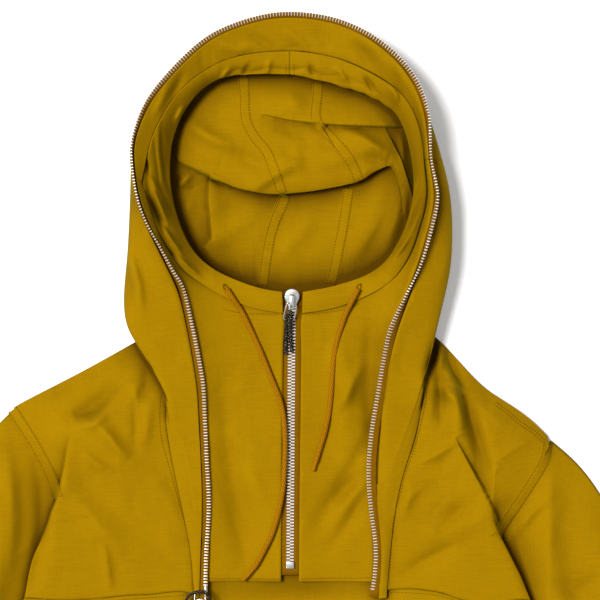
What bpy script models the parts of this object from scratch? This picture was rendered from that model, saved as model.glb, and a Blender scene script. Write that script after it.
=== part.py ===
"""An anorak pullover laid flat on its back, front up, hood opening up.

Tables and named sizes are millimetres; the last step of each builder scales them to metres.
+Z is up, the floor is Z = 0, +Y runs from the hem to the hood and +X to the wearer's left sleeve
as seen from above. The origin is on the floor under the back, below the foot of the quarter zip.
"""
import math

import bmesh
import bpy
import numpy as np
from mathutils import Matrix, Vector

MM = 0.001
CLOTH = 1.5            # thickness of every cloth wall
SEAM = 0.4             # space between two pieces that are sewn together
FLOOR = CLOTH / 2      # middle of a wall that lies on the floor
TAPE_SHOWS = 6.0       # zip tape that shows, from the teeth to the edge of the cloth
TAPE_WIDE = 8.0        # whole width of the tape from the teeth, the rest under the cloth
TAPE_THICK = 1.6
INNER_OFF = TAPE_THICK / 2 + CLOTH / 2 + 0.8   # from the tape's middle to the middle of the inner cloth
SHELL_OFF = TAPE_THICK / 2 + CLOTH / 2 + 0.9   # and to the middle of the outer cloth
TEETH_REACH = 2.4      # how far the row of teeth stands in from the zip line
CORD = 5.4             # diameter of the drawcord
CLEAR = 0.3            # space between a piece and what it lies on
CHEST_SEAM = 3.0       # height in Y of the seam across the chest
HEM = -430.0           # Y of the bottom hem
UP = np.array([0.0, 0.0, 1.0])

for thing in list(bpy.data.objects):
    bpy.data.objects.remove(thing, do_unlink=True)


# ---------------------------------------------------------------- shared ways of making

def material(name, colour, roughness, metallic=0.0):
    """A plain Principled material."""
    made = bpy.data.materials.new(name)
    made.use_nodes = True
    shader = made.node_tree.nodes["Principled BSDF"]
    shader.inputs["Base Color"].default_value = (*colour, 1)
    shader.inputs["Roughness"].default_value = roughness
    shader.inputs["Metallic"].default_value = metallic
    return made


def spline(knots, values, at):
    """Smooth curve through each row of values at its knot, read at the places given."""
    knots = np.asarray(knots, float)
    values = np.asarray(values, float)
    at = np.atleast_1d(np.asarray(at, float))
    gap = np.diff(knots)
    slope = np.diff(values, axis=0) / gap[:, None]
    inner = (slope[1:] * gap[:-1, None] + slope[:-1] * gap[1:, None]) / (gap[:-1] + gap[1:])[:, None]
    tangent = np.vstack([slope[:1], inner, slope[-1:]])
    k = np.clip(np.searchsorted(knots, at, side="right") - 1, 0, len(gap) - 1)
    h = gap[k][:, None]
    t = ((at - knots[k])[:, None]) / h
    return (values[k] * (2 * t**3 - 3 * t**2 + 1) + tangent[k] * h * (t**3 - 2 * t**2 + t)
            + values[k + 1] * (3 * t**2 - 2 * t**3) + tangent[k + 1] * h * (t**3 - t**2))


def along(points, at):
    """Points of a smooth curve through the given points, at shares of its length."""
    points = np.asarray(points, float)
    knots = np.concatenate([[0], np.cumsum(np.linalg.norm(np.diff(points, axis=0), axis=1))])
    return spline(knots / knots[-1], points, at)


def ease(value):
    """Goes softly from 0 to 1 as the value does."""
    t = np.clip(value, 0, 1)
    return t * t * (3 - 2 * t)


def normals(grid, ring):
    """Unit normals of a grid of points; the columns close into a ring if asked."""
    down = np.gradient(grid, axis=0)
    if ring:
        across = np.roll(grid, -1, axis=1) - np.roll(grid, 1, axis=1)
    else:
        across = np.gradient(grid, axis=1)
    normal = np.cross(across, down)
    return normal / np.maximum(np.linalg.norm(normal, axis=2, keepdims=True), 1e-9)


def solid(name, points, faces, finish):
    """One named object from points in millimetres."""
    mesh = bpy.data.meshes.new(name)
    mesh.from_pydata([tuple(p) for p in np.asarray(points) * MM], [], faces)
    shape = bmesh.new()
    shape.from_mesh(mesh)
    bmesh.ops.recalc_face_normals(shape, faces=shape.faces)
    if shape.calc_volume(signed=True) < 0:
        bmesh.ops.reverse_faces(shape, faces=shape.faces)
    shape.to_mesh(mesh)
    shape.free()
    mesh.shade_smooth()
    mesh.set_sharp_from_angle(angle=math.radians(50))
    mesh.materials.append(finish)
    made = bpy.data.objects.new(name, mesh)
    bpy.context.collection.objects.link(made)
    return made


def wall(name, grid, finish, thick=CLOTH, ring=False):
    """A closed cloth wall: the grid of middle points moved half the thickness to each side."""
    grid = np.asarray(grid, float)
    rows, columns = grid.shape[:2]
    side = normals(grid, ring) * thick / 2
    points = np.concatenate([(grid + side).reshape(-1, 3), (grid - side).reshape(-1, 3)])
    under = rows * columns
    faces = []
    for row in range(rows - 1):
        for column in range(columns if ring else columns - 1):
            a = row * columns + column
            b = row * columns + (column + 1) % columns
            faces.append((a, b, b + columns, a + columns))
            faces.append((under + a, under + a + columns, under + b + columns, under + b))
    for row in (0, rows - 1):
        for column in range(columns if ring else columns - 1):
            a = row * columns + column
            b = row * columns + (column + 1) % columns
            faces.append((a, under + a, under + b, b) if row == 0 else (a, b, under + b, under + a))
    if not ring:
        for column in (0, columns - 1):
            for row in range(rows - 1):
                a = row * columns + column
                b = a + columns
                faces.append((a, b, under + b, under + a) if column == 0 else (a, under + a, under + b, b))
    return solid(name, points, faces, finish)


def draw_in(grid, first_row=0.0, last_row=0.0, first_column=0.0):
    """Pulls the named borders of a grid back by a distance, to leave a seam's space."""
    grid = grid.copy()

    def drawn(edge, inner, distance):
        way = inner - edge
        return edge + way / np.maximum(np.linalg.norm(way, axis=-1, keepdims=True), 1e-9) * distance

    if first_row:
        grid[0] = drawn(grid[0], grid[1], first_row)
    if last_row:
        grid[-1] = drawn(grid[-1], grid[-2], last_row)
    if first_column:
        grid[:, 0] = drawn(grid[:, 0], grid[:, 1], first_column)
    return grid


CLOTH_FINISH = material("cloth", (0.40, 0.22, 0.004), 0.75)
TAPE_FINISH = material("zip_tape", (0.25, 0.10, 0.006), 0.8)
METAL_FINISH = material("zip_metal", (0.78, 0.77, 0.74), 0.25, 1.0)
CORD_FINISH = material("drawcord", (0.33, 0.13, 0.006), 0.8)
TAG_FINISH = material("pull_cord", (0.012, 0.011, 0.010), 0.7)


# ---------------------------------------------------------------- the long zip's line
# A row for each place along the line of teeth, from the left chest over the hood to the right.

ZIP = [  # x, y, z, turn of the tape: 0 lies outwards, 90 hangs straight down, 150 lies inwards
    (-85, 2, 22, 6), (-84, 45, 23, 6), (-81.4, 95, 25, 6), (-83.5, 142, 28, 6), (-85.4, 185, 32, 8),
    (-87, 216, 36, 14), (-92, 247, 41, 30), (-97, 272, 46, 45), (-106, 310, 52, 60),
    (-117, 330, 56, 70), (-130, 354, 59, 84), (-143, 378, 61, 90), (-152, 404, 62, 92),
    (-157, 440, 60, 96), (-155, 464, 57, 108), (-141.5, 498, 51, 135), (-115, 531, 45, 148),
    (-83, 560.5, 41, 152), (-50, 576, 38.5, 152), (-13, 585, 37.5, 150), (25, 583.5, 37.5, 150),
    (60, 574, 39.5, 152), (95, 553, 44, 150), (123, 522, 50, 145), (137, 485, 56, 116),
    (140, 440, 61, 102), (146, 404, 63, 114), (141, 374, 62, 120), (130, 336, 58, 100),
    (116, 305, 52, 70), (101, 272, 45, 35), (94, 242, 39, 16), (88, 206, 34, 9), (81.5, 165, 30, 6),
    (79, 126, 27, 6), (81.5, 90, 25.5, 6), (86, 53, 24, 6), (85, 25, 23, 6), (81.5, 2, 22, 6),
]
ZIP_KNOTS = np.arange(len(ZIP))
LEFT_SEAM, RIGHT_SEAM = 18.0, 20.0     # rows of the line where the hood's two long seams meet it


def zip_point(place):
    return spline(ZIP_KNOTS, ZIP, place)[:, :3]


def zip_out(place):
    """Unit direction level across the line of teeth, away from the opening, and the tape's turn."""
    place = np.atleast_1d(np.asarray(place, float))
    ahead = zip_point(place + 0.05) - zip_point(place - 0.05)
    out = np.stack([-ahead[:, 1], ahead[:, 0], np.zeros(len(place))], axis=1)
    out /= np.linalg.norm(out, axis=1, keepdims=True)
    return out, np.radians(spline(ZIP_KNOTS, ZIP, place)[:, 3:4])


def tape_way(place):
    """Unit direction from the teeth across the tape to the cloth it is sewn to."""
    out, turn = zip_out(place)
    return out * np.cos(turn) - UP * np.sin(turn)


def tape_inside(place):
    """Unit direction square to the tape, on the side of the inner cloth."""
    out, turn = zip_out(place)
    return -out * np.sin(turn) - UP * np.cos(turn)


# ---------------------------------------------------------------- the hood
# A rib runs from each place on the zip, round the outside of the hood and back to the neck seam.
# edge: where the rib turns under, seen as the hood's outline. crown and flap: places on the inside
# of the back of the hood. fold: how far the collapsed cloth doubles over itself there, 0 to 1.
# end: the neck seam, or the princess seam below the neck.

RIBS = [  # place, edge x, y, z, crown x, y, z, flap x, y, fold, end x, y, z
    (0, -92, 2, 22.2, -93, 2, 22.2, -94, 2, 0, -95.5, 2, 22),
    (1, -92, 45, 23.4, -94, 45, 23.4, -95.5, 45, 0, -97.5, 45, 23),
    (2, -92, 98, 25.4, -98, 99, 25.4, -104, 100, 0, -109, 100, 24.5),
    (3, -99, 143, 28, -107, 143, 27.8, -113, 143, 0, -118.5, 143, 26),
    (4, -112, 184, 32.5, -119.5, 183.5, 31.5, -123, 183, 0, -124.5, 182, 26.5),
    (5, -122, 213, 33.5, -124.5, 211, 28.5, -123.5, 210, 0, -121.5, 209, 25),
    (6, -141, 244, 33, -142, 241, 25.5, -131, 236, 0, -118, 231, 20.5),
    (7, -163.5, 270, 31, -154, 266, 16, -134, 260, 0, -110, 252, 14),
    (8, -167.5, 294, 31, -144, 296, 6, -126, 284, 0, -103, 273, 8),
    (9, -166.5, 316, 31, -138, 326, 1.8, -116, 308, 0, -97, 291, 4.7),
    (10, -163, 344, 31, -134, 352, 1.2, -112, 326, 0, -85, 284, 1),
    (11, -161, 374, 31, -133, 378, 1.5, -110, 346, 0, -72, 277.5, 1),
    (12, -159, 404, 30, -132, 404, 2.5, -110, 366, 0, -60, 272.5, 1),
    (13, -157.5, 440, 29, -130, 432, 4, -112, 398, 0, -52, 270.5, 1),
    (14, -154.5, 464, 27, -122, 456, 7, -106, 424, 0.15, -46, 269.5, 1),
    (15, -140, 496.5, 23, -104, 480, 11, -88, 424, 0.45, -42, 269, 1),
    (16, -113.5, 529, 21, -82, 484, 14, -64, 414, 0.75, -38, 268.5, 1),
    (17, -81.5, 558, 19, -62, 484, 16, -30, 407, 0.95, -34, 268, 1),
    (18, -49, 573.5, 18, -49, 483, 17, -2, 407, 1, -30, 267.5, 1),
    (19, -13, 582.5, 17.5, -14, 482, 17, 30, 411, 1, 0, 266.5, 1),
    (20, 25, 581, 17.5, 25, 481, 17, 61, 418, 1, 30, 267.5, 1),
    (21, 59, 571.5, 18, 48, 480, 16, 80, 426, 0.92, 38, 268.5, 1),
    (22, 93.5, 550.5, 20, 80, 476, 14, 100, 433, 0.7, 46, 270, 1),
    (23, 121.5, 520.5, 23, 101, 467, 11, 108, 426, 0.42, 55, 272, 1),
    (24, 138, 484.5, 28, 113, 447, 7, 114, 404, 0.15, 64, 275, 1),
    (25, 151.5, 441, 31, 122, 424, 4, 118.5, 381, 0, 72, 278.5, 1),
    (26, 160.5, 410, 32, 126, 394, 2.5, 119, 356, 0, 80, 282, 1),
    (27, 163.5, 372, 32, 130, 364, 1.2, 118, 334, 0, 88, 286, 1),
    (28, 162, 332, 32, 134, 334, 1.8, 120, 312, 0, 99, 290.5, 4.7),
    (29, 154, 300, 32, 138, 300, 5, 122, 288, 0, 106, 274, 9),
    (30, 145, 268, 32, 140, 266, 15, 130, 262, 0, 115, 256, 14),
    (31, 137, 241, 33.5, 136, 239.5, 26.5, 132, 239, 0, 126, 237.5, 21.5),
    (32, 122, 206, 33, 129.5, 206, 31.5, 132.5, 206, 0, 133, 206, 26.5),
    (33, 108, 165, 29.5, 115, 165, 29, 121, 165, 0, 126, 165, 26.4),
    (34, 95, 127, 27.2, 102, 128, 27, 108, 129, 0, 113, 129, 25),
    (35, 93, 91, 25.6, 98, 92, 25.4, 101, 93, 0, 105, 94, 24),
    (36, 93.5, 53, 24.2, 96, 53, 24.2, 98, 53, 0, 100, 53, 23),
    (37, 92.5, 25, 23.2, 94, 25, 23.2, 96, 25, 0, 97.5, 25, 22.5),
    (38, 89, 2, 22.2, 91, 2, 22.2, 93.5, 2, 0, 96, 2, 22),
]
TURN_OUT = 2.4         # how far the fold's round edge stands out where the hood turns back over the chest
FOLD_DEEP = 46.0       # how far the collapsed back of the hood doubles over itself
FOLD_HIGH = 16.0       # height of the flap that this leaves on top
SPREAD = 7.0           # space along the rib between its points where it is half folded
FOLD_STEPS = [  # share of the depth back from the flap's edge, share of the height, order
    (0.12, 1.00, 2.5), (0.00, 0.80, 1.5), (0.12, 0.56, 0.5),
    (0.88, 0.46, -0.5), (1.00, 0.23, -1.5), (0.88, 0.00, -2.5),
]


def rib_controls(place):
    """The points that steer the ribs at the places given: an array of place by control by xyz."""
    place = np.atleast_1d(np.asarray(place, float))
    table = spline([row[0] for row in RIBS], [row[1:] for row in RIBS], place)
    edge, crown, flap = table[:, 0:3], table[:, 3:6], table[:, 6:8]
    fold = np.clip(table[:, 8:9], 0, 1)
    end = table[:, 9:12]
    start = zip_point(place) + tape_way(place) * TAPE_SHOWS - tape_inside(place) * SHELL_OFF
    hood = (ease((place - 6) / 3) * ease((31 - place) / 3))[:, None]       # 0 on the chest, 1 on the hood
    chest = (np.maximum(1 - ease((place - 2.5) / 2), ease((place - 33) / 2)))[:, None]
    upright = np.clip((np.cos(zip_out(place)[1]) + 0.75) / 0.5, 0, 1)      # 0 where the tape lies inwards
    shoulder = start * 0.45 + edge * 0.55 + UP * 5 * hood * upright
    shoulder[:, :2] += (edge - start)[:, :2] * 0.12 * hood * upright
    inward = crown - edge
    inward[:, 2] = 0
    wide = np.linalg.norm(inward, axis=1, keepdims=True)
    inward /= wide
    floor = edge + inward * np.minimum(15, wide * 0.45)
    floor[:, 2] = FLOOR + 0.3
    turned = np.clip((edge[:, 2:3] - crown[:, 2:3]) / 4, 0, 1)             # 1 where it folds back
    beside = edge * 0.5 + crown * 0.5 + zip_out(place)[0] * TURN_OUT * turned
    floor = beside * (1 - hood) + floor * hood
    deep = fold * ease((fold - 0.4) / 0.6) * FOLD_DEEP
    back = crown[:, :2] - flap
    back /= np.linalg.norm(back, axis=1, keepdims=True)
    bottom = (crown[:, 2:3] * 0.5 + end[:, 2:3] * 0.5) * (1 - hood) + (FLOOR + 0.3) * hood
    middle = np.concatenate([flap, bottom], axis=1)
    controls = [start, shoulder, edge, floor, crown]
    for step, (share, high, order) in enumerate(FOLD_STEPS, 1):
        plan = flap + back * (share * deep + order * SPREAD * (1 - fold))
        double = np.concatenate([plan, bottom + high * FOLD_HIGH * fold**0.5], axis=1)
        way = 2 * step / (len(FOLD_STEPS) + 1)
        single = crown * max(0, 1 - way) + middle * (1 - abs(1 - way)) + end * max(0, way - 1)
        controls.append(single * (1 - hood) + double * hood)
    controls.append(end)
    controls = np.stack(controls, axis=1)
    shares = np.linspace(0, 1, controls.shape[1])[None, :, None]
    level = start[:, None, :] * (1 - shares) + end[:, None, :] * shares
    level[:, :, 2] += 0.8 * np.sin(np.pi * shares[:, :, 0])
    return controls * (1 - chest[:, :, None]) + level * chest[:, :, None]


RIB_ROWS = [  # how many rows of points from each control to the next
    1, 2, 2, 2, 2, 1, 1, 1, 1, 1, 3,
]


def rib_grid(places, rows=RIB_ROWS):
    """Grid of points of the hood's cloth: a line of points down each rib."""
    grid = []
    for controls in rib_controls(places):
        knots = np.concatenate([[0], np.cumsum(np.linalg.norm(np.diff(controls, axis=0), axis=1) ** 0.5)])
        at = [knots[0]]
        for k, count in enumerate(rows):
            at.extend(knots[k] + (knots[k + 1] - knots[k]) * (i + 1) / count for i in range(count))
        line = spline(knots, controls, at)
        line[:, 2] = np.maximum(line[:, 2], FLOOR)
        grid.append(line)
    return np.array(grid)


def places(first, last, halves=(13, 25), extra=()):
    """Rows of the zip line between two places, with one more between them where it curves."""
    between = {k / 2 for k in range(77) if k % 2 == 0 or halves[0] < k / 2 < halves[1]} | set(extra)
    return np.array(sorted({first, last} | {k for k in between if first + 0.1 < k < last - 0.1}))


# ---------------------------------------------------------------- the long zip's tape

def strip(points, ways, ups, inner, outer, thick):
    """A flat band along a line, as rings of four corners: from inner to outer across it."""
    corners = [(inner, 0.5), (outer, 0.5), (outer, -0.5), (inner, -0.5)]
    return np.stack([points + ways * across + ups * high * thick for across, high in corners], axis=1)


def bar(name, rings, finish):
    """A closed solid through rings of corners, capped at both ends."""
    count, sides = rings.shape[:2]
    faces = []
    for ring in range(count - 1):
        for side in range(sides):
            a = ring * sides + side
            b = ring * sides + (side + 1) % sides
            faces.append((a, b, b + sides, a + sides))
    faces.append(tuple(range(sides - 1, -1, -1)))
    faces.append(tuple(range((count - 1) * sides, count * sides)))
    return solid(name, rings.reshape(-1, 3), faces, finish)


ROUND = (5, 33)         # places between which the tape and the cloth inside it have the closer rows
TAPE_TAIL = -0.33      # the tape runs on past the chest seam on the left, where its slider rests
tape_at = places(TAPE_TAIL, 37.98, ROUND)
bar("hood_zip_tape", strip(zip_point(tape_at), tape_way(tape_at), -tape_inside(tape_at),
                           -TEETH_REACH, TAPE_WIDE, TAPE_THICK), TAPE_FINISH)


# ---------------------------------------------------------------- the inner front and the tunnel
# The bib lies under the long zip; the tunnel band goes on from its top edge round the face.

INNER_LAP = 3.0        # how far from the teeth the inner cloth is sewn to the tape
TUNNEL_LEFT = [  # outer edge x, y, z and free edge x, y, z, from the quarter zip up to top centre
    (-7, 287, 34, -8, 308, 36),
    (-37, 292, 34.5, -31, 311.5, 36),
    (-67, 304, 36.5, -60, 322, 34),
    (-88, 317, 39, -79, 332, 31),
    (-106, 330, 42.5, -95, 346, 29),
    (-124, 355, 48, -107, 366, 29),
    (-137, 386, 53, -116, 392, 30),
    (-146.5, 416, 55.5, -120.5, 418, 30),
    (-142, 440, 51, -120.5, 444, 29),
    (-137, 462, 48, -116.5, 466, 28),
    (-122, 492, 43, -106, 490, 27),
    (-105, 513, 39, -92, 508, 25.5),
    (-83, 530, 35, -76, 520, 24),
    (-60, 541, 32.5, -54, 528.5, 23),
    (-32, 547, 31, -30, 532, 22.5),
    (-0.3, 549, 30.5, -0.3, 533.5, 22),
]
TUNNEL_RIGHT = [
    (12.3, 287, 34, 13, 308, 36),
    (40, 291, 34.5, 35, 311.5, 36),
    (62, 298, 36.2, 56, 317, 33.5),
    (84, 308, 38.8, 76, 324, 31),
    (104, 322, 42.5, 94, 336, 29),
    (119, 344, 47.5, 107, 354, 29),
    (129, 372, 51.5, 118, 378, 30),
    (136.5, 404, 54, 124, 406, 31),
    (134, 430, 51, 124, 430, 31),
    (131.5, 458, 47, 120, 454, 30),
    (124.5, 484, 43.5, 113, 476, 28),
    (110, 507, 39.5, 101, 494, 26),
    (82, 526, 35.5, 78, 511, 24),
    (52, 540, 32.8, 48, 523, 23),
    (24, 546.5, 31.2, 22, 530, 22.4),
    (0.3, 549, 30.5, 0.3, 533.5, 22),
]


def tunnel_grid(table, steps, across):
    """Grid of the tunnel: along it from the quarter zip to top centre, across it inwards."""
    knots = np.arange(len(table))
    rows = spline(knots, table, np.linspace(0, len(table) - 1, steps))
    share = np.linspace(0, 1, across)[None, :, None]
    grid = rows[:, None, :3] * (1 - share) + rows[:, None, 3:] * share
    grid[:, :, 2] += 1.8 * np.sin(np.pi * share[:, :, 0])
    return grid


bands = {"band_left": tunnel_grid(TUNNEL_LEFT, 31, 4), "band_right": tunnel_grid(TUNNEL_RIGHT, 31, 4)}
for name, grid in bands.items():
    wall(name, grid, CLOTH_FINISH)


def sewn_to_tape(place):
    """The outer edge of the inner cloth, on the inner side of the long zip's tape."""
    return zip_point(place) + tape_way(place) * INNER_LAP + tape_inside(place) * INNER_OFF


BIB_HEM = 17.5         # Y of the bib's lower edge
UNDER_BAND = CLOTH + 0.9       # how far the inner cloth lies under the band it is sewn to
BAND_LAP = 0.3                 # how far it runs on under it


def under_band(table, at):
    """Where the inner cloth ends, under the outer edge of the tunnel at each of its rows."""
    knots = np.arange(len(table))
    rows = spline(knots, table, at)
    ahead = spline(knots, table, np.minimum(at + 0.05, knots[-1])) - spline(knots, table, np.maximum(at - 0.05, 0))
    across = rows[:, 3:] - rows[:, :3]
    across /= np.linalg.norm(across, axis=1, keepdims=True)
    below = np.cross(across, ahead[:, :3])
    below /= np.linalg.norm(below, axis=1, keepdims=True)
    below *= -np.sign(below[:, 2:3])
    return rows[:, :3] + below * UNDER_BAND + across * BAND_LAP


BIB_TOP_LEFT = [  # place on the long zip and row of the tunnel that it faces
    (12.5, 7.05), (11.4, 6), (10.3, 5), (9.3, 4), (8.4, 3), (7.7, 2), (7.0, 1), (6.3, 0),
]
BIB_TOP_RIGHT = [
    (25.0, 8.3), (26.0, 7), (27.1, 6), (28.2, 5), (29.1, 4), (29.85, 3), (30.5, 2), (31.1, 1), (31.7, 0),
]
BIB_LEFT = [  # place on the long zip and the point beside the quarter zip that it faces
    (5.6, -7.2, 262, 31.4), (5.0, -7.4, 235, 30.8), (4.2, -7.8, 205, 29.6),
    (3.4, -8.1, 166, 27.4), (2.5, -8.5, 122, 25.2), (1.6, -8.8, 78, 23.6), (1.0, -9, 48, 22.6),
    (0.36, -9.2, 17.5, 21.6),
]
BIB_RIGHT = [
    (32.3, 11.8, 262, 31.4), (32.9, 11.4, 235, 30.8), (33.6, 11, 205, 29.6),
    (34.2, 10.6, 166, 27.4), (35.0, 10, 122, 25.2), (35.9, 9.6, 78, 23.6), (36.6, 9.3, 48, 22.6),
    (37.36, 9.2, 17.5, 21.6),
]
FACING_LEFT = [  # place on the long zip and row of the tunnel that it faces
    (12.5, 7.05), (13.5, 8), (14.4, 9), (15.3, 10), (16.1, 11), (16.9, 12), (17.7, 13), (18.5, 14), (19.3, 15),
]
FACING_RIGHT = [(20.2, 14), (21.0, 13.1), (22.0, 12.2), (23.0, 11.25), (24.0, 10.05), (24.5, 9.3), (25.0, 8.3)]


def faced(pairs, band):
    """Rows of place and point under the tunnel, from rows of place and tunnel row."""
    pairs = np.array(pairs, float)
    return np.concatenate([pairs[:, :1], under_band(band, pairs[:, 1])], axis=1)


def inner_grid(table, across, sag, corner=()):
    """Grid of the inner cloth: along the long zip, across it from the tape to the facing points."""
    table = table[np.argsort(table[:, 0])]
    at = places(table[0, 0], table[-1, 0], ROUND, corner)
    outer = sewn_to_tape(at)
    faces = spline(table[:, 0], table[:, 1:], at)
    share = np.linspace(0, 1, across)[None, :, None]
    grid = outer[:, None, :] * (1 - share) + faces[:, None, :] * share
    wide = np.linalg.norm(outer - faces, axis=1)[:, None]
    grid[:, :, 2] -= 3 * ease((wide - 22) / 50) * sag * np.sin(np.pi * share[:, :, 0])
    return grid


inner = {
    "bib_left": inner_grid(np.concatenate([faced(BIB_TOP_LEFT, TUNNEL_LEFT), BIB_LEFT]), 5, 1.0, (6.3,)),
    "bib_right": inner_grid(np.concatenate([faced(BIB_TOP_RIGHT, TUNNEL_RIGHT), BIB_RIGHT]), 5, 1.0, (31.7,)),
    "hood_facing": inner_grid(np.concatenate([faced(FACING_LEFT, TUNNEL_LEFT),
                                              faced(FACING_RIGHT, TUNNEL_RIGHT)]), 4, -0.8),
}
inner["bib_left"][0, :, 1] = inner["bib_right"][-1, :, 1] = BIB_HEM
for name, grid in inner.items():
    wall(name, draw_in(grid, first_row=SEAM, last_row=SEAM), CLOTH_FINISH)


# ---------------------------------------------------------------- the quarter zip
# A closed tape between the two halves of the bib, a stop at its lower end and a slider at its top.

NECK_TAPE = [  # y, left edge x, right edge x, height of its middle
    (305, -8.6, 13.8, 30.5), (289, -8.8, 13.8, 29.9), (262, -9, 13.6, 29.5), (235, -9.2, 13.4, 28.9),
    (205, -9.6, 13, 27.7), (166, -9.9, 12.6, 25.5), (122, -10.3, 12, 23.3), (78, -10.6, 11.6, 21.7),
    (48, -10.8, 11.3, 20.7), (24.5, -11, 11.2, 19.9),
]
NECK_TAPE_THICK = 1.2
rings = [[(left, y, z + NECK_TAPE_THICK / 2), (right, y, z + NECK_TAPE_THICK / 2),
          (right, y, z - NECK_TAPE_THICK / 2), (left, y, z - NECK_TAPE_THICK / 2)]
         for y, left, right, z in NECK_TAPE]
bar("neck_zip_tape", np.array(rings), TAPE_FINISH)


def block(name, outline, bottom, top, finish, narrower=0.0):
    """A closed solid of one outline in plan between two heights, its top drawn in."""
    outline = np.array(outline, float)
    middle = outline.mean(axis=0)
    rings = []
    for height, inwards in ((bottom, 0.0), (top - narrower, 0.0), (top, narrower)):
        way = outline - middle
        far = np.linalg.norm(way, axis=1, keepdims=True)
        plan = middle + way * (far - inwards) / far
        rings.append(np.concatenate([plan, np.full((len(plan), 1), height)], axis=1))
    return bar(name, np.array(rings), finish)


STOP_AT = (0.0, 34.5)
STOP_HALF = (4.0, 3.5)
STOP_BOTTOM, STOP_TOP = 21.3, 24.2
corners = [(STOP_AT[0] + STOP_HALF[0] * x, STOP_AT[1] + STOP_HALF[1] * y)
           for x, y in ((-1, -1), (1, -1), (1, 1), (-1, 1))]
block("neck_zip_stop", corners, STOP_BOTTOM, STOP_TOP, METAL_FINISH, 0.5)

HEAD_WIDE = 7.8        # half width of a slider's round head
BODY_HIGH = 4.5
BRIDGE = [  # y from the pivot and height over the body's top, along the slider's bridge
    (-3.2, -0.6), (-3.2, 2.0), (-1.6, 3.9), (2.5, 4.4), (7.0, 3.9), (8.6, 2.0), (8.6, -0.6),
]
BRIDGE_WIDE, BRIDGE_THICK = 4.0, 1.4
PIVOT_OVER = 1.9       # height of the pull's axis over the body's top


def slider(name, pivot_x, pivot_y, bottom):
    """A slider: a shield-shaped body, and over it a bridge with a slot that the pull's wire runs in."""
    outline = []
    for step in range(15):
        angle = math.radians(-35 + 250 * step / 14)
        outline.append((pivot_x + HEAD_WIDE * math.cos(angle), pivot_y + 7 + HEAD_WIDE * math.sin(angle)))
    outline += [(pivot_x - 3.6, pivot_y - 3.5), (pivot_x - 3, pivot_y - 6), (pivot_x + 3, pivot_y - 6),
                (pivot_x + 3.6, pivot_y - 3.5)]
    body = block(name, outline, bottom, bottom + BODY_HIGH, METAL_FINISH, 0.8)
    line = np.array([(pivot_x, pivot_y + y, bottom + BODY_HIGH + z) for y, z in BRIDGE])
    ahead = np.gradient(line, axis=0)
    ahead /= np.linalg.norm(ahead, axis=1, keepdims=True)
    up = np.stack([np.zeros(len(line)), -ahead[:, 2], ahead[:, 1]], axis=1)
    side = np.array([1.0, 0, 0]) * BRIDGE_WIDE / 2
    rings = np.stack([line + side + up * BRIDGE_THICK / 2, line - side + up * BRIDGE_THICK / 2,
                      line - side - up * BRIDGE_THICK / 2, line + side - up * BRIDGE_THICK / 2], axis=1)
    bridge = bar(name + "_bridge", rings, METAL_FINISH)
    join = body.modifiers.new("join", "BOOLEAN")
    join.operation = "UNION"
    join.solver = "EXACT"
    join.object = bridge
    joined = bpy.data.meshes.new_from_object(body.evaluated_get(bpy.context.evaluated_depsgraph_get()))
    body.modifiers.clear()
    body.data = joined
    bpy.data.objects.remove(bridge, do_unlink=True)
    return pivot_x, pivot_y, bottom + BODY_HIGH + PIVOT_OVER


def tube(points, radius, sides, closed=False):
    """Rings of a round tube through the points."""
    points = np.array(points, float)
    if closed:
        ahead = np.roll(points, -1, axis=0) - np.roll(points, 1, axis=0)
    else:
        ahead = np.gradient(points, axis=0)
    ahead /= np.linalg.norm(ahead, axis=1, keepdims=True)
    right = np.cross(ahead, UP)
    right /= np.linalg.norm(right, axis=1, keepdims=True)
    over = np.cross(right, ahead)
    turn = (np.arange(sides) + 0.5) * 2 * math.pi / sides
    rings = points[:, None, :] + radius * (right[:, None, :] * np.cos(turn)[None, :, None]
                                           + over[:, None, :] * np.sin(turn)[None, :, None])
    return rings


def on_axis(made, pivot):
    """Puts the object's origin on its joint's axis without moving the shape."""
    made.data.transform(Matrix.Translation(-Vector(pivot) * MM))
    made.location = Vector(pivot) * MM
    return made


WIRE = 0.8             # radius of a pull's wire
PULL_HALF = 5.15       # half width of the wire loop
PULL_LONG = 17.0


def pull(name, pivot, turned, drop, long, ahead):
    """A closed wire loop through the slider's slot, lying ahead of it (-1: towards the hem)."""
    loop = []
    for x, y in ((0, 0), (0.75, 0), (1, 0.06), (1.04, 0.5), (1.06, 0.9), (0.8, 1), (0, 1), (-0.8, 1),
                 (-1.06, 0.9), (-1.04, 0.5), (-1, 0.06), (-0.75, 0)):
        across, down = x * PULL_HALF, y * long
        loop.append((pivot[0] + across * math.cos(turned) + down * math.sin(turned) * ahead,
                     pivot[1] + (down * math.cos(turned) + across * math.sin(turned)) * ahead,
                     pivot[2] - drop * y))
    rings = tube(loop, WIRE, 6, closed=True)
    count, sides = rings.shape[:2]
    faces = [(r * sides + k, r * sides + (k + 1) % sides,
              (r + 1) % count * sides + (k + 1) % sides, (r + 1) % count * sides + k)
             for r in range(count) for k in range(sides)]
    return on_axis(solid(name, rings.reshape(-1, 3), faces, METAL_FINISH), pivot)


def tag(name, pivot, sections):
    """The short cord on a pull: rings of x, y, z, half width and half thickness along it."""
    rings = []
    for x, y, z, wide, thick in sections:
        rings.append([(x + wide * math.cos(turn), y, z + thick * math.sin(turn))
                      for turn in (np.arange(8) + 0.5) * math.pi / 4])
    return on_axis(bar(name, np.array(rings), TAG_FINISH), pivot)


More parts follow.
